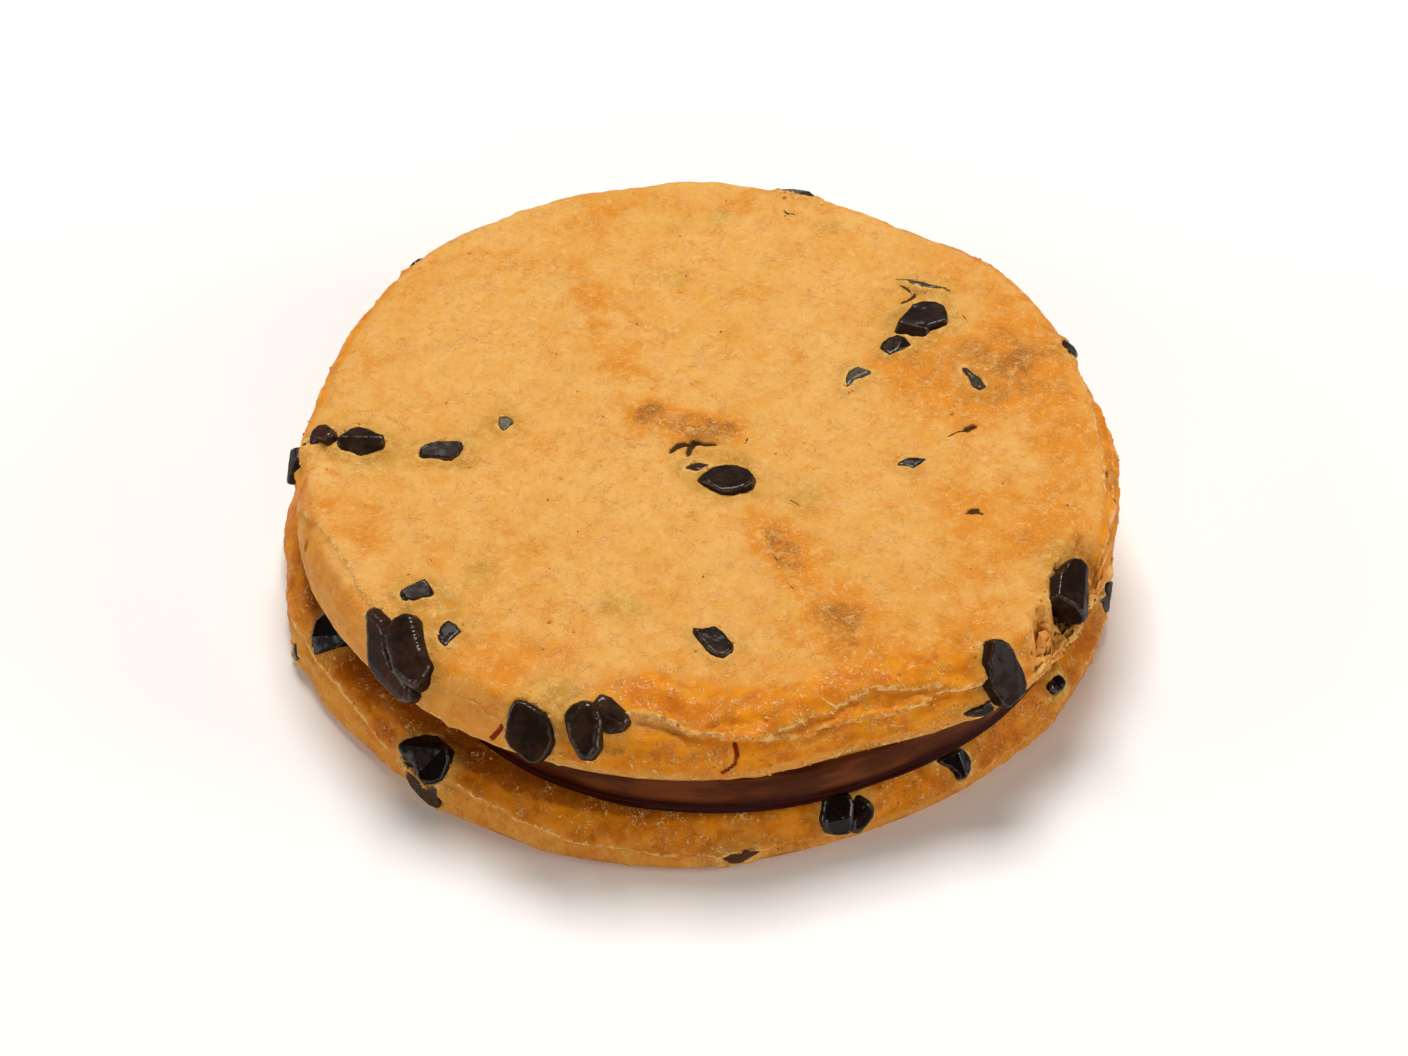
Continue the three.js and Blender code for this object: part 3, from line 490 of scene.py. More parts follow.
def baked_crust(name, pale, yellow, orange, brown, deep_glaze, light_glaze, patch_size):
    """Baked shortcrust. The mesh says where it is baked brown or has painted shade, and where it is glazed,
    flaky, smooth, slit or near a chip.
    """
    crust = Finish(name)
    browned, honey, edge = (crust.attribute(mark) for mark in ("browned", "honey", "edge"))
    smooth_side, near_chip, slit = (crust.attribute(mark) for mark in ("smooth_side", "near_chip", "slit"))
    greyed, wine, veined = (crust.attribute(mark) for mark in ("greyed", "wine", "veined"))

    # Slow patches where the dough is paler, yellower, pinker or redder, blotches inside them, and the crumb
    where = crust.place()
    patches = crust.clouds(patch_size, 2.0, 0.5)
    blotches = crust.clouds(2.6, 3.0, 0.55, distortion=0.3)
    redness = crust.clouds(3.4, 3.0, 0.55, crust.place(0.4), 0.3)
    pinkness = crust.clouds(2.2, 3.0, 0.5, crust.place(0.9), 0.3)
    crumb = crust.clouds(0.8, 3.0, 0.65, distortion=0.4)
    fine = crust.clouds(0.3, 2.0, 0.6)
    broken_up = crust.warped(where, 1.6, 0.9)
    grains = crust.cells(1.1, "F1", broken_up, "Color") - 0.5
    crumb_light = (crumb - 0.5) * 0.3 + grains * 0.12
    mottled = (crumb - 0.5) * 0.6 + (fine - 0.5) * 0.3 + grains * 0.2
    colour = crust.mix((blotches * 0.5 + patches * 0.5 + mottled).rising(0.38, 0.64), pale, yellow)
    colour = crust.mix((pinkness + mottled).rising(0.54, 0.66) * 0.45, colour, PINK_DOUGH)
    # Where the browning mark is high the crust turns orange, then brown: baked browning, and on the bottom
    # biscuit painted shade near the filling.
    baked = browned * 1.2 + ((redness - 0.5) * 1.6 + (patches - 0.5) * 0.8) * (1 - honey * 0.6) + crumb_light
    colour = crust.mix(baked.rising(0.05, 0.75), colour, orange)
    colour = crust.mix(baked.rising(0.7, 1.4), colour, brown)
    islands = crust.cells(2.3, "F1", crust.warped(where, 3.0, 1.0), "Color").rising(0.66, 0.78)
    colour = crust.mix(islands * (browned + 0.35 + (redness - 0.5) * 2).capped() * 0.6, colour, orange)

    # The side is smoother, and the glaze lies in soft amber pools
    colour = crust.mix(smooth_side * 0.9, colour, crust.mix(redness.rising(0.4, 0.6), SIDE_TAN, SIDE_PINK))
    glazed = (honey * 1.5 + (redness - 0.5) * 0.9 + (blotches - 0.5) * 0.6 - 0.2).rising(0.0, 0.95)
    amber = crust.mix((blotches + crumb_light * 0.6).rising(0.28, 0.68), deep_glaze, light_glaze)
    # The amber turns brown where the browning mark is high: baked browning, and on the bottom biscuit painted
    # shade near the filling.
    amber = crust.mix(browned.rising(0.5, 1.3) * 0.95, amber, brown)
    colour = crust.mix(glazed * 0.95, colour, amber)

    # Dull dough near chips
    dulled = (near_chip * 0.75 + greyed * 1.4 + (redness - 0.5) * 0.6 - 0.2).rising(0.0, 0.85) * 0.85
    colour = crust.mix(dulled, colour, crust.mix(blotches.rising(0.42, 0.6), DULL_DOUGH, PALE_DOUGH))

    torn = (near_chip + (crumb - 0.5) * 0.3).rising(0.84, 0.93) * (blotches + grains * 0.4).rising(0.42, 0.55)
    colour = crust.mix(torn * 0.6, colour, THIN_DOUGH)

    # Short pale strokes in the skin, faint brown creases, and the pale edges of dough layers
    strokes = crust.cells(1.5, "F1", crust.place(0.5, (0.3, 1.1, 1), 0.9)).rising(0.11, 0.05)
    strokes = strokes + crust.cells(1.7, "F1", crust.place(0.8, (0.3, 1.1, 1), -0.6)).rising(0.09, 0.04)
    drawn = crust.cells(1.6, "DISTANCE_TO_EDGE", crust.warped(where, 3.0, 1.1))
    hairs = drawn.rising(0.05, 0.015) * pinkness.rising(0.52, 0.58)
    edge_line = (edge + (crumb - 0.5) * 0.9).rising(0.68, 0.92)
    vein = (veined + (fine - 0.5) * 0.1).rising(0.84, 0.93)
    film = edge_line * 0.9 + edge * (blotches - 0.3).capped() * 0.4 + hairs * (honey * 0.5 + 0.35)
    film = (film + strokes * 0.35 + vein).capped()
    colour = crust.mix(film, colour, THIN_DOUGH)

    # The crumb: each grain lighter or darker, sugar-pale flecks, and brown specks and strokes
    calm = (1 - glazed * 0.75) * (1 - smooth_side * 0.6)
    light = crumb.rising(0.53, 0.64) * 0.35 + fine.rising(0.54, 0.66) * 0.35 + grains.rising(0.1, 0.3) * 0.25
    colour = crust.mix((light * calm).capped(), colour, THIN_DOUGH)
    dark = crumb.rising(0.47, 0.36) * 0.4 + fine.rising(0.45, 0.33) * 0.35 + grains.rising(-0.1, -0.3) * 0.25
    colour = crust.mix((dark * calm).capped(), colour, orange)
    cracks = crust.cells(1.1, "DISTANCE_TO_EDGE", broken_up).rising(0.05, 0.0) * redness.rising(0.5, 0.58)
    colour = crust.mix(cracks * 0.35, colour, brown)
    flecks = fine.rising(0.63, 0.7) * crumb.rising(0.55, 0.65) * (honey * 0.5 + 0.15).capped()
    colour = crust.mix(flecks, colour, FLECK)
    specks = crust.cells(2.2, "F1", crust.place(0.2, (1, 0.45, 1), 0.5)).rising(0.05, 0.03)
    specks = specks + crust.cells(2.4, "F1", crust.place(0.7, (0.3, 1, 1), 0.2)).rising(0.035, 0.02)
    specks = specks * (1 - honey).capped() * redness.rising(0.46, 0.54)
    colour = crust.mix((specks * 0.75).capped(), colour, SPECK_BROWN)

    # Chocolate smeared at the edge of a chip, partly painted shade in the crevice there, painted shade
    # inside a slit, and cracks coloured by the filling
    smear_and_shade = (near_chip + (crumb - 0.5) * 0.2 + (fine - 0.5) * 0.14).rising(0.97, 1.01)
    slit_shade = (slit + (crumb - 0.5) * 0.3).rising(0.72, 0.86)
    colour = crust.mix((smear_and_shade + slit_shade).capped() * 0.92, colour, SMEAR_AND_SHADE)
    colour = crust.mix((wine + (crumb - 0.5) * 0.3).rising(0.45, 0.7), colour, WINE_BROWN)

    roughness = 0.6 - glazed * 0.18 + (fine - 0.5) * 0.25 - smooth_side * 0.1
    bump = crumb * 0.5 * (1 - glazed * 0.6) + fine * 0.25 + blotches * 0.4 + film * 0.4 - specks * 0.3
    values = {"Base Color": colour, "Roughness": roughness, "Specular IOR Level": 0.05}
    values |= {"Coat Weight": glazed * fine.rising(0.52, 0.66) * 0.26, "Coat Roughness": 0.15}
    values |= {"Subsurface Weight": 0.12, "Subsurface Radius": (1.0, 0.45, 0.15)}
    values |= {"Subsurface Scale": 0.9 * MM}
    return crust.surface(values, bump, 0.3 * MM)


PINK_DOUGH = srgb(224, 160, 92)
SIDE_TAN = srgb(212, 144, 58)
SIDE_PINK = srgb(208, 132, 48)
DULL_DOUGH = srgb(190, 140, 58)
PALE_DOUGH = srgb(212, 166, 84)
THIN_DOUGH = srgb(238, 186, 112)
FLECK = srgb(246, 206, 138)
SPECK_BROWN = srgb(124, 66, 18)
SMEAR_AND_SHADE = srgb(34, 17, 8)
WINE_BROWN = srgb(128, 36, 4)


class Strewn(Nodes):
    """Geometry nodes that strew crumbs over a surface, turned and sized at random."""

    INPUTS = (
        ("Surface", "Geometry"), ("Crumbs", "Collection"), ("Mark", "String"), ("Density", "Float"),
        ("Smallest", "Float"), ("Largest", "Float"), ("Tilt", "Float"), ("Seed", "Int"),
        ("Finish", "Material"),
    )

    def __init__(self):
        super().__init__(bpy.data.node_groups.new("strewn_crumbs", "GeometryNodeTree"))
        self.keys = {}
        for label, kind in self.INPUTS:
            made = self.tree.interface.new_socket(label, in_out="INPUT", socket_type="NodeSocket" + kind)
            self.keys[label] = made.identifier
        self.tree.interface.new_socket("Crumbs", in_out="OUTPUT", socket_type="NodeSocketGeometry")
        given = {label: self.node("NodeGroupInput", output=label) for label, _ in self.INPUTS}
        mark = {"Name": given["Mark"]}
        share = self.node("GeometryNodeInputNamedAttribute", {"data_type": "FLOAT"}, mark, "Attribute")
        spread = {"Mesh": given["Surface"], "Density": share * given["Density"], "Seed": given["Seed"]}
        spots = self.node("GeometryNodeDistributePointsOnFaces", {}, spread, "Points")
        upright = Signal(self, spots.socket.node.outputs["Rotation"])
        tilt = self.vector(given["Tilt"], given["Tilt"], math.tau)
        against = self.vector(0.0 - given["Tilt"], 0.0 - given["Tilt"], 0.0)
        turn = {"Min": against, "Max": tilt, "Seed": given["Seed"] + 1}
        turn = self.node("FunctionNodeRandomValue", {"data_type": "FLOAT_VECTOR"}, turn, "Value")
        turn = self.node("FunctionNodeEulerToRotation", {}, {"Euler": turn})
        turn = self.node("FunctionNodeRotateRotation", {"rotation_space": "LOCAL"}, {0: upright, 1: turn})
        drawn = {"Seed": given["Seed"] + 2}
        chance = self.node("FunctionNodeRandomValue", {"data_type": "FLOAT"}, drawn, "Value")
        size = given["Smallest"] + chance * chance * chance * (given["Largest"] - given["Smallest"])
        shapes = {"Collection": given["Crumbs"], "Separate Children": True, "Reset Children": True}
        shapes = self.node("GeometryNodeCollectionInfo", {}, shapes)
        laid = {"Points": spots, "Instance": shapes, "Pick Instance": True, "Rotation": turn, "Scale": size}
        placed = self.node("GeometryNodeInstanceOnPoints", {}, laid)
        real = self.node("GeometryNodeRealizeInstances", {}, {0: placed})
        finished = self.node("GeometryNodeSetMaterial", {}, {"Geometry": real, "Material": given["Finish"]})
        self.node("NodeGroupOutput", {}, {0: finished})

    def vector(self, x, y, z):
        return self.node("ShaderNodeCombineXYZ", {}, {"X": x, "Y": y, "Z": z})

    def over(self, name, surface, **values):
        """The crumbs on a surface as a piece of their own."""
        host = add_object(name, surface.data)
        modifier = host.modifiers.new("crumbs", "NODES")
        modifier.node_group = self.tree
        for label, value in values.items():
            modifier[self.keys[label]] = value
        made = modified_mesh(host)
        made.name = name
        crumbs = add_object(name, made)
        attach(crumbs, "root")
        return crumbs


def crumb_shapes(name, flatness, detail, seed):
    """A few broken bits of dough about 1 mm across, kept out of the scene for Strewn."""
    shapes = bpy.data.collections.new(name)
    for i in range(5):
        ball = bmesh.new()
        bmesh.ops.create_icosphere(ball, subdivisions=detail, radius=0.5)
        points = np.array([vertex.co for vertex in ball.verts])
        faces = [tuple(vertex.index for vertex in face.verts) for face in ball.faces]
        ball.free()
        rugged = 1 + 0.4 * grain(points, 0.45, 2, seed + i)
        blocky = np.linalg.norm(points, axis=1) / np.linalg.norm(points, ord=5, axis=1)
        points *= (rugged * blocky)[:, None] * np.array([1.0, 0.75, flatness])
        bit = link_mesh(f"{name}_{i}", points / MM, faces, smooth=False)
        bpy.context.scene.collection.objects.unlink(bit)
        shapes.objects.link(bit)
    return shapes


crumb_finish = Finish("loose_crumbs")
tone = crumb_finish.clouds(1.7, 2.0, 0.5)
tone = crumb_finish.mix(tone.rising(0.4, 0.6), srgb(208, 136, 52), srgb(234, 180, 98))
loose_crumbs = crumb_finish.surface({"Base Color": tone, "Roughness": 0.5, "Specular IOR Level": 0.15})
strewn = Strewn()
CRUMBS = crumb_shapes("dough_crumbs", 0.7, 1, 3)
FLAKES = crumb_shapes("dough_flakes", 0.16, 2, 9)

# The top biscuit's sizes, which the filling under it needs too
TOP = {
    "centre": (1.0, 0.4),
    "base": 10.6,
    "thickness": 7.0,
    "rim": (41.9, 41.7, 42.3, 41.4, 42.8, 43.1, 43.2, 41.1, 41.6, 42.2, 42.0, 41.7, 41.2, 40.3, 42.7, 43.0),
    "shoulder": 2.7,
    "widest_at": 3.2,
    "heel": 0.6,
}
# Both biscuits swell round their chips, so the chips' solids come first
chips = {name: Chip(node) for name, node in sorted(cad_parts.items()) if "_chip_" in name}

skin = Skin(BOTTOM, 33.0, 0.8)
split = within(skin.angle, **SPLIT)
wander = 0.4 * np.sin(4 * skin.angle + 2) + 0.3 * np.sin(9 * skin.angle)
waist = bell(skin.height - 1.9 - 0.3 * wander, 0.6)
side_relief = 0.16 * np.sin(11 * skin.angle + 1) + 0.1 * np.sin(19 * skin.angle) - 0.3 * waist
side_relief = (side_relief - 0.5 * split * bell(skin.height - 3.4, 2)) * smooth(skin.height, 0, 1)
side_relief = side_relief * smooth(skin.out, 0.1, 0.5)
rise = 0.1 * lumps(skin.x, skin.y, 3) * skin.face

plain = skin.points(rise)
speckle = grain(plain, 1.5, 3, 2)
flakes = grain(plain * np.array([1, 1, 3.0]), 5, 3, 5)
chip_swell, near_chip = around_chips(plain, "bottom", 20)
ledge_swell, edge = ledges(skin, BOTTOM_LEDGES, plain, 11)
line = sorted((angle % 360, height) for _, knots in BOTTOM_LEDGES for angle, height in knots)
ledge_height = np.interp(np.degrees(skin.angle), *zip(*line), period=360)
above_ledge = smooth(skin.along - ledge_height + 0.4 * flakes, -0.1, 0.5) * skin.face
swell = side_relief + (0.06 + 0.06 * skin.out) * speckle + 0.22 * flakes * skin.out + chip_swell + ledge_swell
swell = np.where(skin.under, 0.03 * np.minimum(speckle, 0), swell)
# Painted shade: the top of this biscuit is coloured darker inwards, towards the filling under the top
# biscuit's overhang, and less so at the right front.
browned_in = 1.4 * smooth(skin.inset + 0.2 * speckle, 0.6, 3.0) * (1 - 0.5 * within(skin.angle, 300, 352, 12))
bottom = link_mesh("bottom_biscuit_crust", skin.points(rise, swell), skin.faces())
store(
    bottom,
    browned=np.where(skin.under, 0.4, 0.1 + browned_in) + 0.06 * flakes,
    honey=above_ledge,
    edge=np.maximum(edge, 0.8 * bell(skin.along - 0.8 - 0.3 * flakes, 0.35)),
    smooth_side=0.7 * (1 - above_ledge) * (1 - skin.under),
    near_chip=near_chip,
    slit=np.zeros(len(plain)),
    greyed=0.25 * flakes,
    wine=np.zeros(len(plain)),
    veined=np.zeros(len(plain)),
)
bottom.data.materials.append(
    baked_crust(
        "bottom_crust",
        pale=srgb(216, 147, 52),
        yellow=srgb(208, 133, 32),
        orange=srgb(200, 109, 6),
        # On this biscuit this brown is mostly painted shade near the filling.
        brown=srgb(112, 50, 4),
        deep_glaze=srgb(176, 90, 2),
        light_glaze=srgb(216, 130, 10),
        patch_size=8.0,
    )
)
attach(bottom, "root")
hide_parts("bottom_biscuit")
along_ledge = 0.25 + 0.75 * bell(skin.along - ledge_height, 1.2)
store(bottom, crumbly=above_ledge * within(skin.angle, 185, 355, 8) * along_ledge)
crumbs = {"Crumbs": CRUMBS, "Mark": "crumbly", "Density": 1.1 / MM**2, "Tilt": math.pi}
crumbs |= {"Finish": loose_crumbs}
strewn.over("crumbs_on_the_bottom", bottom, Smallest=0.1 * MM, Largest=0.42 * MM, Seed=4, **crumbs)


# The filling: a layer of dark chocolate cream squeezed out to the edge between the biscuits, smooth and
# shiny. Low down it is painted darker and wine-red: partly a thin line where it has crept along the biscuit
# below, partly painted shade along that seam.
FILLING = {
    "centre": (0.6, 0.2),
    "rim": (39.4, 39.0, 38.8, 38.6, 38.8, 39.0, 38.6, 37.6, 36.2, 35.4, 36.6, 39.2, 40.5, 40.6, 40.6, 40.2),
    "bulge": 0.7,
}
FILLING_SEGMENTS = 720
FILLING_ROWS = 26
# The cream fills the gaps that separate the solids, but for a hairline at each biscuit
HAIRLINE = 0.02
FILLING_LOW = BOTTOM["thickness"] + HAIRLINE
FILLING_HIGH = TOP["base"] - HAIRLINE

filling_angle = math.tau * np.arange(FILLING_SEGMENTS) / FILLING_SEGMENTS
reach = rim_radius(FILLING["rim"], filling_angle)
rows = []
for share in np.linspace(0, 1, FILLING_ROWS):
    height = np.full(FILLING_SEGMENTS, FILLING_HIGH + (FILLING_LOW - FILLING_HIGH) * share)
    ring = np.stack([reach * np.cos(filling_angle), reach * np.sin(filling_angle), height], 1)
    streaks = grain(ring * np.array([1, 1, 4.0]), 9.0, 2, 7)
    belly = math.sin(math.pi * (0.12 + 0.76 * share)) ** 0.6
    out = FILLING["bulge"] * (belly - 1) + 0.4 * bell(share - 0.98, 0.08) + 0.2 * streaks
    ring[:, :2] *= (1 + (out + 0.1 * np.sin(13 * filling_angle)) / reach)[:, None]
    rows.append(ring)
points = np.concatenate([*rows, [[0, 0, FILLING_HIGH], [0, 0, FILLING_LOW]]])
points[:, :2] += FILLING["centre"]
faces = []
last_row = (FILLING_ROWS - 1) * FILLING_SEGMENTS
for i in range(FILLING_SEGMENTS):
    j = (i + 1) % FILLING_SEGMENTS
    for row in range(0, last_row, FILLING_SEGMENTS):
        faces.append((row + i, row + FILLING_SEGMENTS + i, row + FILLING_SEGMENTS + j, row + j))
    faces.append((len(points) - 2, i, j))
    faces.append((last_row + i, len(points) - 1, last_row + j))
filling = link_mesh("chocolate_filling", points, faces)
store(filling, depth=(FILLING_HIGH - points[:, 2]) / (FILLING_HIGH - FILLING_LOW))

cream = Finish("dark_chocolate_filling")
low_down = cream.attribute("depth")
smears = cream.clouds(7.0, 3.0, 0.5, cream.place(0.4, (1, 1, 4.0)))
colour = cream.mix(smears.rising(0.35, 0.65), srgb(70, 30, 8), srgb(106, 54, 20))
# Darker and wine-red towards the bottom: partly cream crept along the biscuit below, partly painted shade
# along the seam.
colour = cream.mix(low_down.rising(0.55, 0.8), colour, srgb(44, 7, 3))
shine = 0.34 + (smears - 0.5) * 0.25 - low_down.rising(0.7, 0.95) * 0.1
values = {"Base Color": colour, "Roughness": shine, "Specular IOR Level": 0.06}
filling.data.materials.append(cream.surface(values))
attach(filling, "root")
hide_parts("filling")


# The top biscuit: the same shortcrust, laid on the filling. Its face has a crease down the middle and a fold
# at the back right, its front edge is turned over in a thin lip with a trough behind it, and its right front
# corner is broken.
CREASE = ((-12, 26), (-7, 8), (-2, 0), (8.5, -19), (15, -29))
FOLD = ((16, 11), (26, 15), (36, 13))
LIP = {"start": 256, "end": 312, "fade": 9}
BROKEN = {"start": 321, "end": 340, "fade": 3}
SMOOTH_SIDE = {"start": 189, "end": 247, "fade": 5}
LAYER_HEIGHT = 2.1
TOP_LEDGES = (
    (
        0.8,
        (
            (257, 7.2), (260, 8.0), (262.4, 8.0), (265, 7.3), (268, 6.3), (271, 6.0), (274.4, 5.6),
            (277, 5.1), (281, 4.8), (284, 4.4), (287.5, 4.9), (291, 5.0), (294, 4.6), (300, 4.6),
            (305.5, 5.0), (314, 4.8),
        ),
    ),
    (
        0.3,
        ((277, 5.2), (282, 5.8), (287.7, 6.3), (291, 6.8), (294, 7.6), (297.5, 7.2), (300, 6.6), (307, 5.6)),
    ),
    (0.28, ((269, 6.6), (271.7, 7.6), (274.7, 9.4), (277, 10.2))),
    (0.22, ((291, 0.9), (294, 1.2), (297, 1.6), (301, 1.9), (306, 1.7))),
    (0.26, ((188, 3.4), (191, 5.5), (196, 7.0), (202, 7.9), (210, 7.8), (213, 7.6), (218, 7.0))),
    (0.08, ((203, 6.6), (205.4, 6.5), (209, 6.2))),
    (0.24, ((228, 4.6), (233, 5.0), (236, 5.0), (241, 4.2), (246, 3.2))),
    (0.45, ((338, 5.6), (350, 5.0), (2, 5.7), (16, 4.6))),
    (0.4, ((345, 3.2), (358, 3.9), (10, 3.0))),
    (0.3, ((350, 6.6), (5, 7.0), (20, 6.4))),
    (0.25, ((20, 4.2), (35, 5.2), (52, 4.0), (64, 4.8))),
    (0.25, ((60, 6.6), (78, 5.6), (95, 6.6), (110, 5.6))),
    (0.2, ((68, 2.8), (84, 3.5), (99, 2.9))),
    (0.25, ((100, 3.6), (118, 4.6), (135, 3.7), (150, 4.5))),
    (0.25, ((140, 6.4), (158, 5.2), (176, 6.2), (186, 5.0))),
    (0.2, ((152, 2.6), (165, 3.3), (182, 2.7))),
)
# Slits and hair cracks in the face: width, depth and course in millimetres
SLITS = (
    (0.5, 0.6, ((-3.2, -0.9), (-2.4, -0.2), (-1.4, 0), (-1.0, 0.4), (-0.4, 0.1), (0.2, -0.2), (0.9, 0))),
    (0.4, 0.4, ((-1.0, 0), (-1.3, -0.9), (-1.6, -1.7))),
    (0.2, 0.3, ((20.1, 25.9), (21.2, 25.4), (22.4, 24.9), (24.6, 24.2), (25.5, 24.2))),
    (0.16, 0.2, ((20.3, 24.3), (21.2, 23.7), (21.9, 23.4))),
    (0.22, 0.3, ((21.9, 23.2), (21.3, 22.6), (20.5, 22.2))),
    (0.1, 0.1, ((4.5, 1.3), (4.4, 0.7), (4.2, 0.3))),
    (0.08, 0.1, ((8.7, -8.0), (9.7, -8.9))),
    (0.07, 0.15, ((6.2, -13.7), (6.9, -15.6), (7.3, -17.0), (8.5, -20.4), (9.2, -21.4))),
    (0.08, 0.1, ((-27.6, -16.4), (-27.2, -17.3))),
    (0.1, 0.1, ((24.9, 1.7), (26.0, 2.5), (27.0, 3.0), (28.0, 3.8))),
    (0.5, 0.2, ((26.9, 2.9), (27.6, 3.4))),
    (0.5, 0.2, ((27.1, -9.5), (27.6, -9.3))),
    (0.2, 0.1, ((26.5, -9.8), (27.3, -9.4), (28.2, -9.9))),
    (0.25, 0.2, ((4.8, -4.6), (5.2, -5.5), (4.9, -6.4))),
    (0.12, 0.1, ((8.3, 36.7), (8.8, 36.0), (8.4, 35.6))),
    (0.12, 0.1, ((9.0, 36.2), (9.6, 36.0), (10.4, 36.5))),
    (0.06, 0.1, ((34.9, 3.6), (36.4, 1.9), (37.4, 0.7), (38.3, -0.2))),
    (0.06, 0.1, ((26.5, 20.8), (27.0, 19.5), (27.5, 18.6))),
)
# Cracks low on the side, coloured by the filling: width, and course as (clock angle, height along the side)
WINE_CRACKS = (
    (0.28, ((274.3, 5.05), (274.6, 3.9), (274.3, 2.6), (273.3, 2.0), (272.5, 1.5))),
    (0.34, ((241.3, 3.9), (240.8, 3.0), (240.2, 2.2), (239.4, 1.2))),
)
# Pale threads of dough on the side, in the same way
VEINS = (
    ((283.0, 7.4), (283.9, 6.25), (285.0, 5.5)),
    ((287.8, 8.4), (288.9, 7.4), (290.1, 6.6)),
    ((285.9, 7.2), (286.0, 6.2)),
    ((299.7, 9.8), (299.7, 8.1), (300.3, 7.0)),
    ((259.8, 2.8), (260.6, 1.05)),
    ((262.8, 2.0), (264.2, 1.45), (265.6, 0.9)),
    ((268, 3.4), (269.2, 2.2)),
    ((270.5, 4.4), (271.2, 3.0), (271.0, 2.2)),
    ((296.4, 3.6), (298.3, 2.9), (301, 3.2)),
)
# Where the face has broken off at the right front, as (clock angle, distance from the middle), and the height
# of the shelf below
BREAK = (
    (316, 44), (318, 43.2), (320.5, 42.2), (323, 41.2), (325.4, 40.6), (326.4, 41.3), (329.5, 40.6),
    (332.2, 39.9), (334, 39.4),
)
SHELF = 3.1
# Folds of dough standing up beside chips: height, width and course
WELTS = (
    (0.45, 0.8, ((-1.6, -1.2), (0.5, -1.0), (2.6, -1.2), (4.2, -2.2))),
    (0.25, 0.8, ((19.5, 24.4), (22, 23.9), (25, 22.8), (26.3, 20.6), (26, 18.4), (24.6, 16.2), (22, 14.4))),
    (0.2, 0.7, ((4.6, -5.2), (5.4, -4.2), (5.2, -2.8))),
    (0.35, 0.5, ((-3.0, -0.9), (-2.6, -2.4), (-2.0, -3.0), (-1.2, -3.2))),
    (0.3, 0.6, ((-29.4, -22.6), (-28.9, -23.7), (-28.2, -25.4), (-27.4, -27.8))),
    (0.35, 0.6, ((-14.7, -34.4), (-14.3, -36.3), (-14.4, -38.0), (-14.6, -39.8))),
    (0.3, 0.6, ((-25.4, -33.4), (-24.6, -31.6), (-24.4, -29.4), (-24.8, -26.9))),
)
# Browned places on the face: x, y, radius, how much
BROWNED = (
    (-5.5, 3.8, 2.2, 1.1), (-1.0, 2.6, 2.2, 1.6), (2.6, 1.8, 1.8, 1.1), (30, -12, 7.0, 0.3),
    (-19, -29, 7.0, 0.25), (34, 12, 5.5, 0.5), (37, 2, 5.0, 0.5), (35, -10, 5.0, 0.4),
    (27, 9, 6.5, 0.7), (22, 12.5, 4.0, 0.6), (31, 17, 5.0, 0.5), (-36, -8, 4.0, 0.15), (-33, -16, 3.5, 0.15),
    (14.5, -24, 3.6, 0.6), (9, -15, 3.2, 0.6), (-11, 23, 3.0, 0.45), (-7.5, 14, 3.2, 0.3), (26, -9, 3.5, 0.3),
    (-1, -36, 4.0, 0.25), (8, -36, 4.0, 0.25), (18, -32, 5.0, 0.45), (27, -26, 5.0, 0.45),
    (-27.4, -16.5, 2.4, 0.35),
)
# Browned streaks down the crease: width, how much, and course
STREAKS = (
    (2.2, 0.15, ((-14.5, 28), (-11.5, 21), (-9.5, 15), (-6.5, 8.5))),
    (2.0, 0.2, ((-5.5, 5), (-1.5, 2.6), (2.6, 1.2))),
    (2.4, 0.55, ((5.6, -11), (8.2, -17), (11, -22), (14, -29))),
    (1.8, 0.3, ((17, 12.5), (22, 13.4), (28, 14.6))),
)
# Greyish or yellowish places where a chip lies near or under the dough: x, y, radius, how much
BURIED = (
    (1.8, 35.4, 1.8, 0.8), (-3.1, 25.5, 1.3, 0.7), (13.1, 34.1, 1.6, 0.8), (9.7, -7.8, 2.6, 0.8),
    (-22.6, -18.8, 2.2, 0.8), (-8.5, -23.1, 3.0, 0.7), (-14.4, -34.6, 2.6, 0.8), (-24, 1, 6.0, 0.4),
    (-34, -1, 4.0, 0.6), (-27, -24, 4.5, 0.6), (2, -2, 5.0, 0.6), (23, 20, 5.0, 0.5), (36.2, -15.4, 2.3, 1.0),
)

skin = Skin(TOP, 0.0, 0.9)
dome = 0.9 * (1 - (skin.x**2 + skin.y**2) / 1750)
crease = bell(to_line(skin.x, skin.y, CREASE), 3)
fold = bell(to_line(skin.x, skin.y, FOLD), 2.6)
sunken = bell(np.hypot(skin.x - 4, skin.y + 5), 5.5)
rise = (dome + 0.45 * crease + 0.4 * fold - 0.5 * sunken + 0.16 * lumps(skin.x, skin.y, 1)) * skin.face

wander = 0.5 * np.sin(3 * skin.angle) + 0.3 * np.sin(7 * skin.angle + 1)
lip = within(skin.angle, **LIP)
broken = within(skin.angle, **BROKEN)
plain = skin.points(rise)
speckle = grain(plain, 1.5, 3, 1)
slow = grain(plain, 5.0, 3, 9)
flakes = grain(plain * np.array([1, 1, 3.0]), 4.5, 3, 6)
cell_edge, cell_number = crumbled(plain + 0.4 * slow[:, None], 2.4, 8)
lip_height = np.interp(np.degrees(skin.angle), *zip(*TOP_LEDGES[0][1]), period=360)
past_lip = skin.along - lip_height + 0.35 * slow
trough = smooth(past_lip, 0.1, 0.8) * (1 - smooth(past_lip, 1.4, 4.6))
layers = np.cos(math.tau * (skin.height + wander) / LAYER_HEIGHT)
wavy = 0.16 * layers + 0.15 * np.sin(9 * skin.angle + 2) + 0.1 * np.sin(17 * skin.angle)
dent = broken * bell(skin.height - 2.0, 1.6) * (0.7 - 0.6 * cell_number - 0.3 * smooth(cell_edge, 0, 0.2))
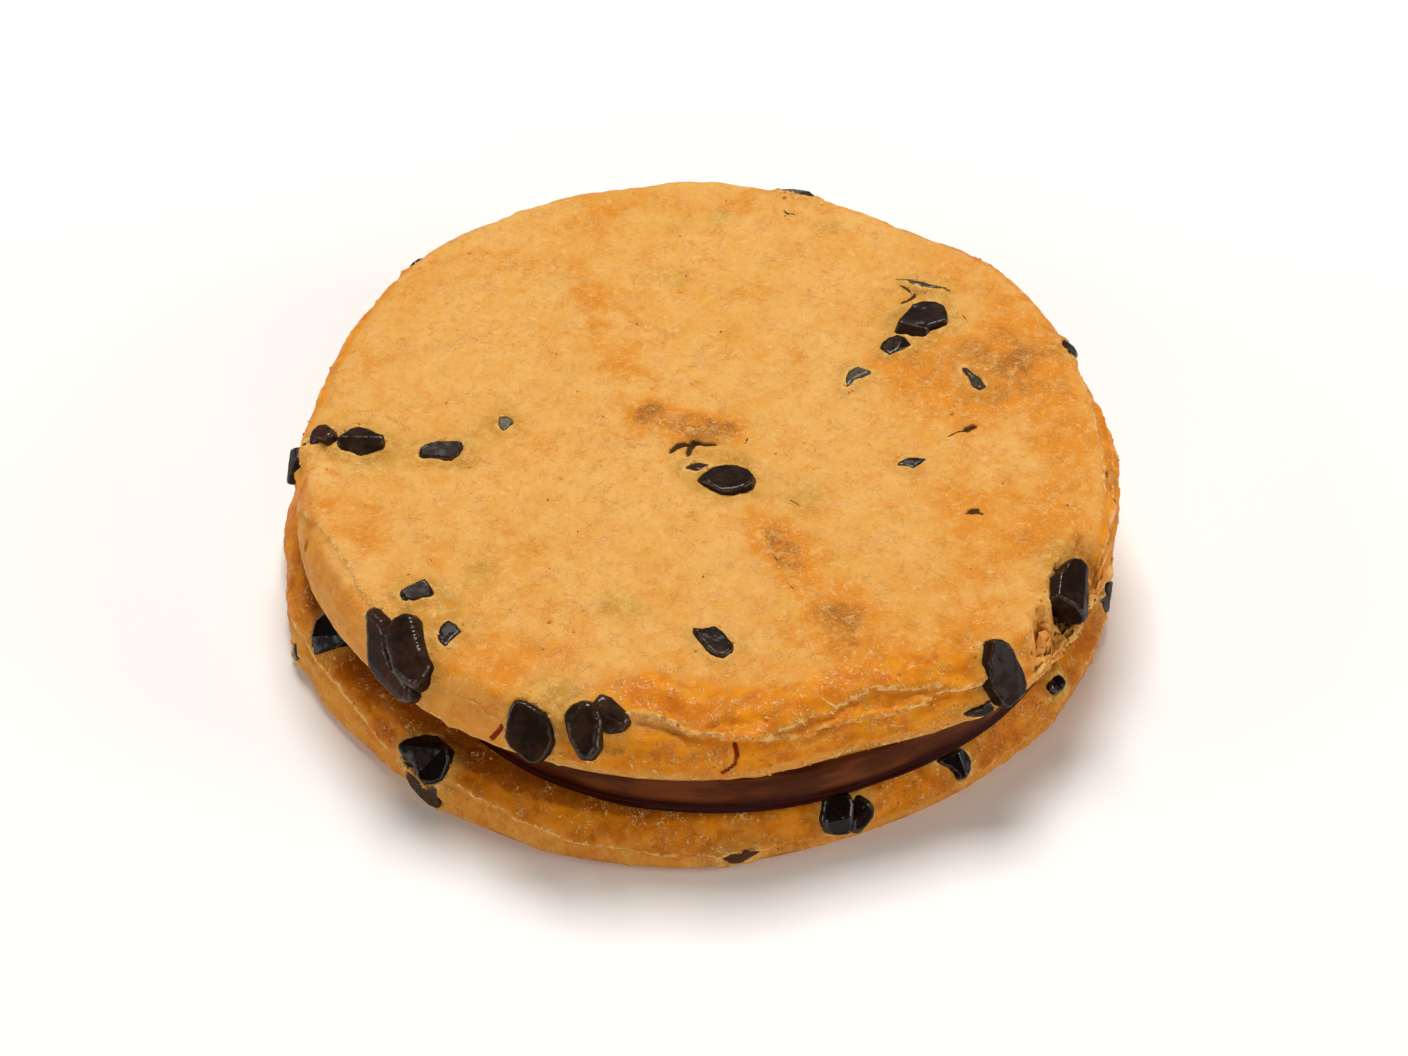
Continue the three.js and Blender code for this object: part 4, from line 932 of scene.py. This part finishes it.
side_relief = wavy * smooth(skin.height, 0, 1) * (1 - 0.6 * within(skin.angle, **SMOOTH_SIDE)) - dent
side_relief = side_relief * smooth(skin.out, 0.1, 0.5) - 0.9 * lip * trough
reach = np.interp(np.degrees(skin.angle), *zip(*BREAK)) + 0.3 * speckle
snapped = broken * smooth(skin.radius - reach, -0.1, 0.2)
shelf = SHELF + 1.5 * cell_number - 0.9 * smooth(cell_edge, 0.25, 0) + 0.2 * speckle
intact = broken * (1 - snapped) * skin.up * (1 - skin.up) * 0.9
snapped_drop = snapped * np.maximum(skin.height - shelf, 0) * skin.face - intact

chip_swell, near_chip = around_chips(plain, "top", 50)
ledge_swell, edge = ledges(skin, TOP_LEDGES, plain, 31)
on_side = smooth(skin.out, 0.25, 0.8)
near_rim = smooth(skin.inset, 11, 4)
dimples = lip * trough * (0.5 - smooth(cell_edge, 0.0, 0.8))
ragged_rim = 0.3 * within(skin.angle, -12, 26, 8) + 0.12 * within(skin.angle, 150, 192, 10)
rough_side = on_side * (1 - 0.6 * within(skin.angle, **SMOOTH_SIDE))
swell = side_relief + (0.07 + 0.05 * rough_side) * speckle + 0.22 * flakes * rough_side
swell = swell + chip_swell + ledge_swell + 0.4 * dimples
slit = np.zeros(len(plain))
for width, depth, course in SLITS:
    away = to_line(skin.x, skin.y, course) + 0.06 * speckle
    swell = swell - depth * bell(away, max(width, 0.3)) * skin.face
    slit = np.maximum(slit, (1 - 0.25 * away / width) * skin.face)
for height, width, course in WELTS:
    away = to_line(skin.x, skin.y, course) + 0.25 * speckle
    swell = swell + height * bell(away, width) * (1 - smooth(near_chip, 0.96, 1.0)) * skin.face
swell = np.where(skin.under, 0.03 * np.minimum(speckle, 0), swell)


def along_side(course):
    """How far points are from a line on the side."""
    course = [(math.radians(angle) * TOP["rim"][0], height) for angle, height in course]
    return to_line(skin.angle * TOP["rim"][0], skin.along, course) + 0.05 * speckle


wine = np.zeros(len(plain))
for width, course in WINE_CRACKS:
    swell = swell - 0.3 * bell(along_side(course), max(width, 0.3))
    wine = np.maximum(wine, 1 - 0.5 * along_side(course) / width)
veined = np.zeros(len(plain))
for course in VEINS:
    swell = swell + 0.12 * bell(along_side(course), 0.35)
    veined = np.maximum(veined, 1 - along_side(course))

browned = 0.2 * near_rim + 0.1 * slow + 0.12 * crease * smooth(skin.y, -34, 10) + 0.1 * on_side
for x, y, radius, share in BROWNED:
    browned = browned + share * bell(np.hypot(skin.x - x, skin.y - y), radius)
for width, share, course in STREAKS:
    browned = browned + share * bell(to_line(skin.x, skin.y, course) + 0.9 * speckle, width) * skin.face
greyed = np.zeros(len(plain))
for x, y, radius, share in BURIED:
    greyed = np.maximum(greyed, share * bell(np.hypot(skin.x - x, skin.y - y), radius) * skin.face)
above_lip = smooth(past_lip, 0.1, 0.8) * (1 - smooth(past_lip, 3.0, 8.0)) * lip
low_band = smooth(skin.along + 0.5 * flakes, 2.3, 1.3)
left_side = within(skin.angle, **SMOOTH_SIDE) * smooth(skin.along, 7.6, 6.4)
side = np.maximum(np.maximum(low_band, left_side), broken * smooth(skin.along, 7, 5))
side = side * (1 - skin.under) * on_side
front_face = smooth(-skin.y - 0.15 * skin.x, 20, 35)
honey = above_lip + 0.85 * on_side * (1 - side) + 0.36 * front_face * (1 - on_side)
at_break = broken * np.maximum(on_side, snapped)
heel_line = 0.95 * bell(skin.along - 0.75 - 0.2 * flakes, 0.35)
block_edges = 0.8 * broken * (1 - 4 * cell_edge) * np.maximum(on_side, snapped)
on_lip = lip * smooth(past_lip, -5.5, -4.0) * (1 - smooth(past_lip, 1.5, 5))
beside_chips = 0.8 * bell(near_chip - 0.78, 0.16)
crumbly = np.maximum(on_lip, beside_chips) + 0.5 * broken * on_side + 0.02
top = link_mesh("top_biscuit_crust", skin.points(rise, swell, snapped_drop), skin.faces())
store(
    top,
    browned=np.where(skin.under, 0.5, browned),
    honey=np.where(skin.under, 0, honey * (1 - 0.5 * broken)),
    edge=np.maximum(np.maximum(edge, heel_line), block_edges),
    smooth_side=side,
    near_chip=near_chip,
    slit=slit,
    greyed=greyed,
    wine=wine,
    veined=veined,
    crumbly=np.where(skin.under, 0, crumbly),
    flaky=np.maximum(at_break, ragged_rim * on_side) * skin.face,
)
top.data.materials.append(
    baked_crust(
        "top_crust",
        pale=srgb(230, 177, 98),
        yellow=srgb(222, 160, 70),
        orange=srgb(220, 138, 42),
        brown=srgb(160, 98, 38),
        deep_glaze=srgb(198, 106, 4),
        light_glaze=srgb(230, 142, 8),
        patch_size=11.0,
    )
)
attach(top, "root")
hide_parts("top_biscuit")
strewn.over("crumbs_on_the_top", top, Smallest=0.1 * MM, Largest=0.5 * MM, Seed=7, **crumbs)
flakes = {"Crumbs": FLAKES, "Mark": "flaky", "Density": 0.7 / MM**2, "Tilt": 0.5, "Finish": loose_crumbs}
strewn.over("flakes_at_the_break", top, Smallest=0.4 * MM, Largest=1.8 * MM, Seed=12, **flakes)


# The chocolate chips: blocks of dark chocolate baked into the dough, whose edges the oven has blunted.
# Those in the top dried to a satin, and those low in the bottom biscuit melted a little and shine.
def chip_piece(name, chip, grown):
    """A fine copy of a chip's solid. Evening its mesh out blunts its edges."""
    rough = add_object(name, chip.mesh)
    fine = rough.modifiers.new("fine", "REMESH")
    fine.mode = "VOXEL"
    fine.voxel_size = CHIP_STEP
    blunt = rough.modifiers.new("blunt", "SMOOTH")
    blunt.iterations = BLUNTING
    made = modified_mesh(rough)
    points = np.array([vertex.co for vertex in made.vertices])
    normals = np.array([normal.vector for normal in made.vertex_normals])
    faces = [tuple(face.vertices) for face in made.polygons]
    ends = np.array([tuple(edge.vertices) for edge in made.edges])

    # A ridge is where the points around lie below a point
    ridge = np.zeros(len(points))
    for here, there in (ends.T, ends.T[::-1]):
        np.add.at(ridge, here, ((points[here] - points[there]) * normals[here]).sum(1))
    for _ in range(2):
        shared = ridge.copy()
        np.add.at(shared, ends[:, 0], ridge[ends[:, 1]])
        np.add.at(shared, ends[:, 1], ridge[ends[:, 0]])
        ridge = shared / 5
    points += normals * (grown + UNEVENNESS * grain(points, 1.4, 3, chip.middle[0]))[:, None]
    points[:, 2] = np.maximum(points[:, 2], 0.0)
    piece = link_mesh(name, points, faces)
    store(piece, ridge=ridge / RIDGE_DEPTH)
    return piece


def chip_chocolate(name, body, painted_sheen, roughness, gloss):
    """Dark chocolate. The mesh says where light shines through it, and where dough dulls it."""
    chocolate = Finish(name)
    milky, dusty, ridge = (chocolate.attribute(mark) for mark in ("milky", "dusty", "ridge"))
    sheen_patches = chocolate.clouds(2.4, 3.0, 0.55)
    dull = chocolate.clouds(0.7, 3.0, 0.6)
    # The lighter tone, laid in lumps over the body colour, is a painted sheen.
    colour = chocolate.mix((sheen_patches + (dull - 0.5) * 0.5).rising(0.35, 0.7), body, painted_sheen)
    colour = chocolate.mix(milky * sheen_patches.rising(0.3, 0.6), colour, MILKY_BROWN)
    colour = chocolate.mix(dusty * (dull * 0.6 + sheen_patches * 0.4).rising(0.3, 0.6), colour, DUST_GREY)
    # Ridges painted a lighter brown: a painted sheen where the edges catch the light.
    ridge_sheen = (ridge + (dull - 0.5) * 1.2).rising(0.4, 1.1)
    colour = chocolate.mix(ridge_sheen * 0.3, colour, RIDGE_SHEEN)
    # Pale streaks: scratches, and partly painted glints.
    scratches_and_glints = chocolate.cells(1.3, "F1", chocolate.place(0.2, (0.25, 1, 1), 0.7)).rising(0.05, 0.02)
    colour = chocolate.mix(scratches_and_glints * dull.rising(0.5, 0.6) * 0.5, colour, SCRATCH_AND_GLINT)
    values = {"Base Color": colour, "Roughness": roughness + (dull - 0.5) * 0.3, "Specular IOR Level": 0.04}
    glints = (ridge + (dull - 0.5) * 0.8).rising(0.25, 0.8)
    coat = (sheen_patches.rising(0.56, 0.44) * gloss + glints * 0.55).capped()
    values |= {"Coat Weight": coat, "Coat Roughness": 0.08}
    return chocolate.surface(values, dull * 0.5 + sheen_patches * 0.6, 0.07 * MM)


MILKY_BROWN = srgb(84, 50, 34)
DUST_GREY = srgb(112, 104, 80)
SCRATCH_AND_GLINT = srgb(150, 126, 104)
RIDGE_SHEEN = srgb(84, 56, 38)
CHIP_STEP = 0.12
BLUNTING = 2
RIDGE_DEPTH = 0.06
UNEVENNESS = 0.06
# How far chips swelled in the oven. Some swelled more and touch their neighbours.
GROWTH = 0.13
SWOLLEN = {"top_chip_19": 0.55, "top_chip_20": 0.55, "top_chip_22": 0.55, "top_chip_23": 0.5}
SWOLLEN |= {"bottom_chip_5": 0.4, "bottom_chip_6": 0.4}
satin_chip = chip_chocolate("satin_chip_chocolate", srgb(30, 18, 11), srgb(50, 33, 23), 0.38, 0.1)
melted_chip = chip_chocolate("melted_chip_chocolate", srgb(10, 4, 3), srgb(26, 14, 8), 0.2, 0.4)
# Thin chips let light through and look milky, and others are covered by a skin of dough that greys them
MILKY = {"top_chip_8": 0.5, "top_chip_15": 0.5, "top_chip_17": 0.5, "top_chip_20": 0.3, "top_chip_23": 0.2}
MILKY |= {"bottom_chip_3": 0.6, "bottom_chip_4": 1.0}
DUSTY = {"top_chip_3": 0.6, "top_chip_4": 0.3, "top_chip_5": 0.3, "top_chip_6": 0.1, "top_chip_9": 0.8}
DUSTY |= {"bottom_chip_3": 0.1}

for node_name, form in chips.items():
    chip = chip_piece("baked_" + node_name, form, SWOLLEN.get(node_name, GROWTH))
    count = len(chip.data.vertices)
    store(chip, milky=np.full(count, MILKY.get(node_name, 0)), dusty=np.full(count, DUSTY.get(node_name, 0)))
    chip.data.materials.append(satin_chip if node_name.startswith("top") else melted_chip)
    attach(chip, "root")
    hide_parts(node_name)
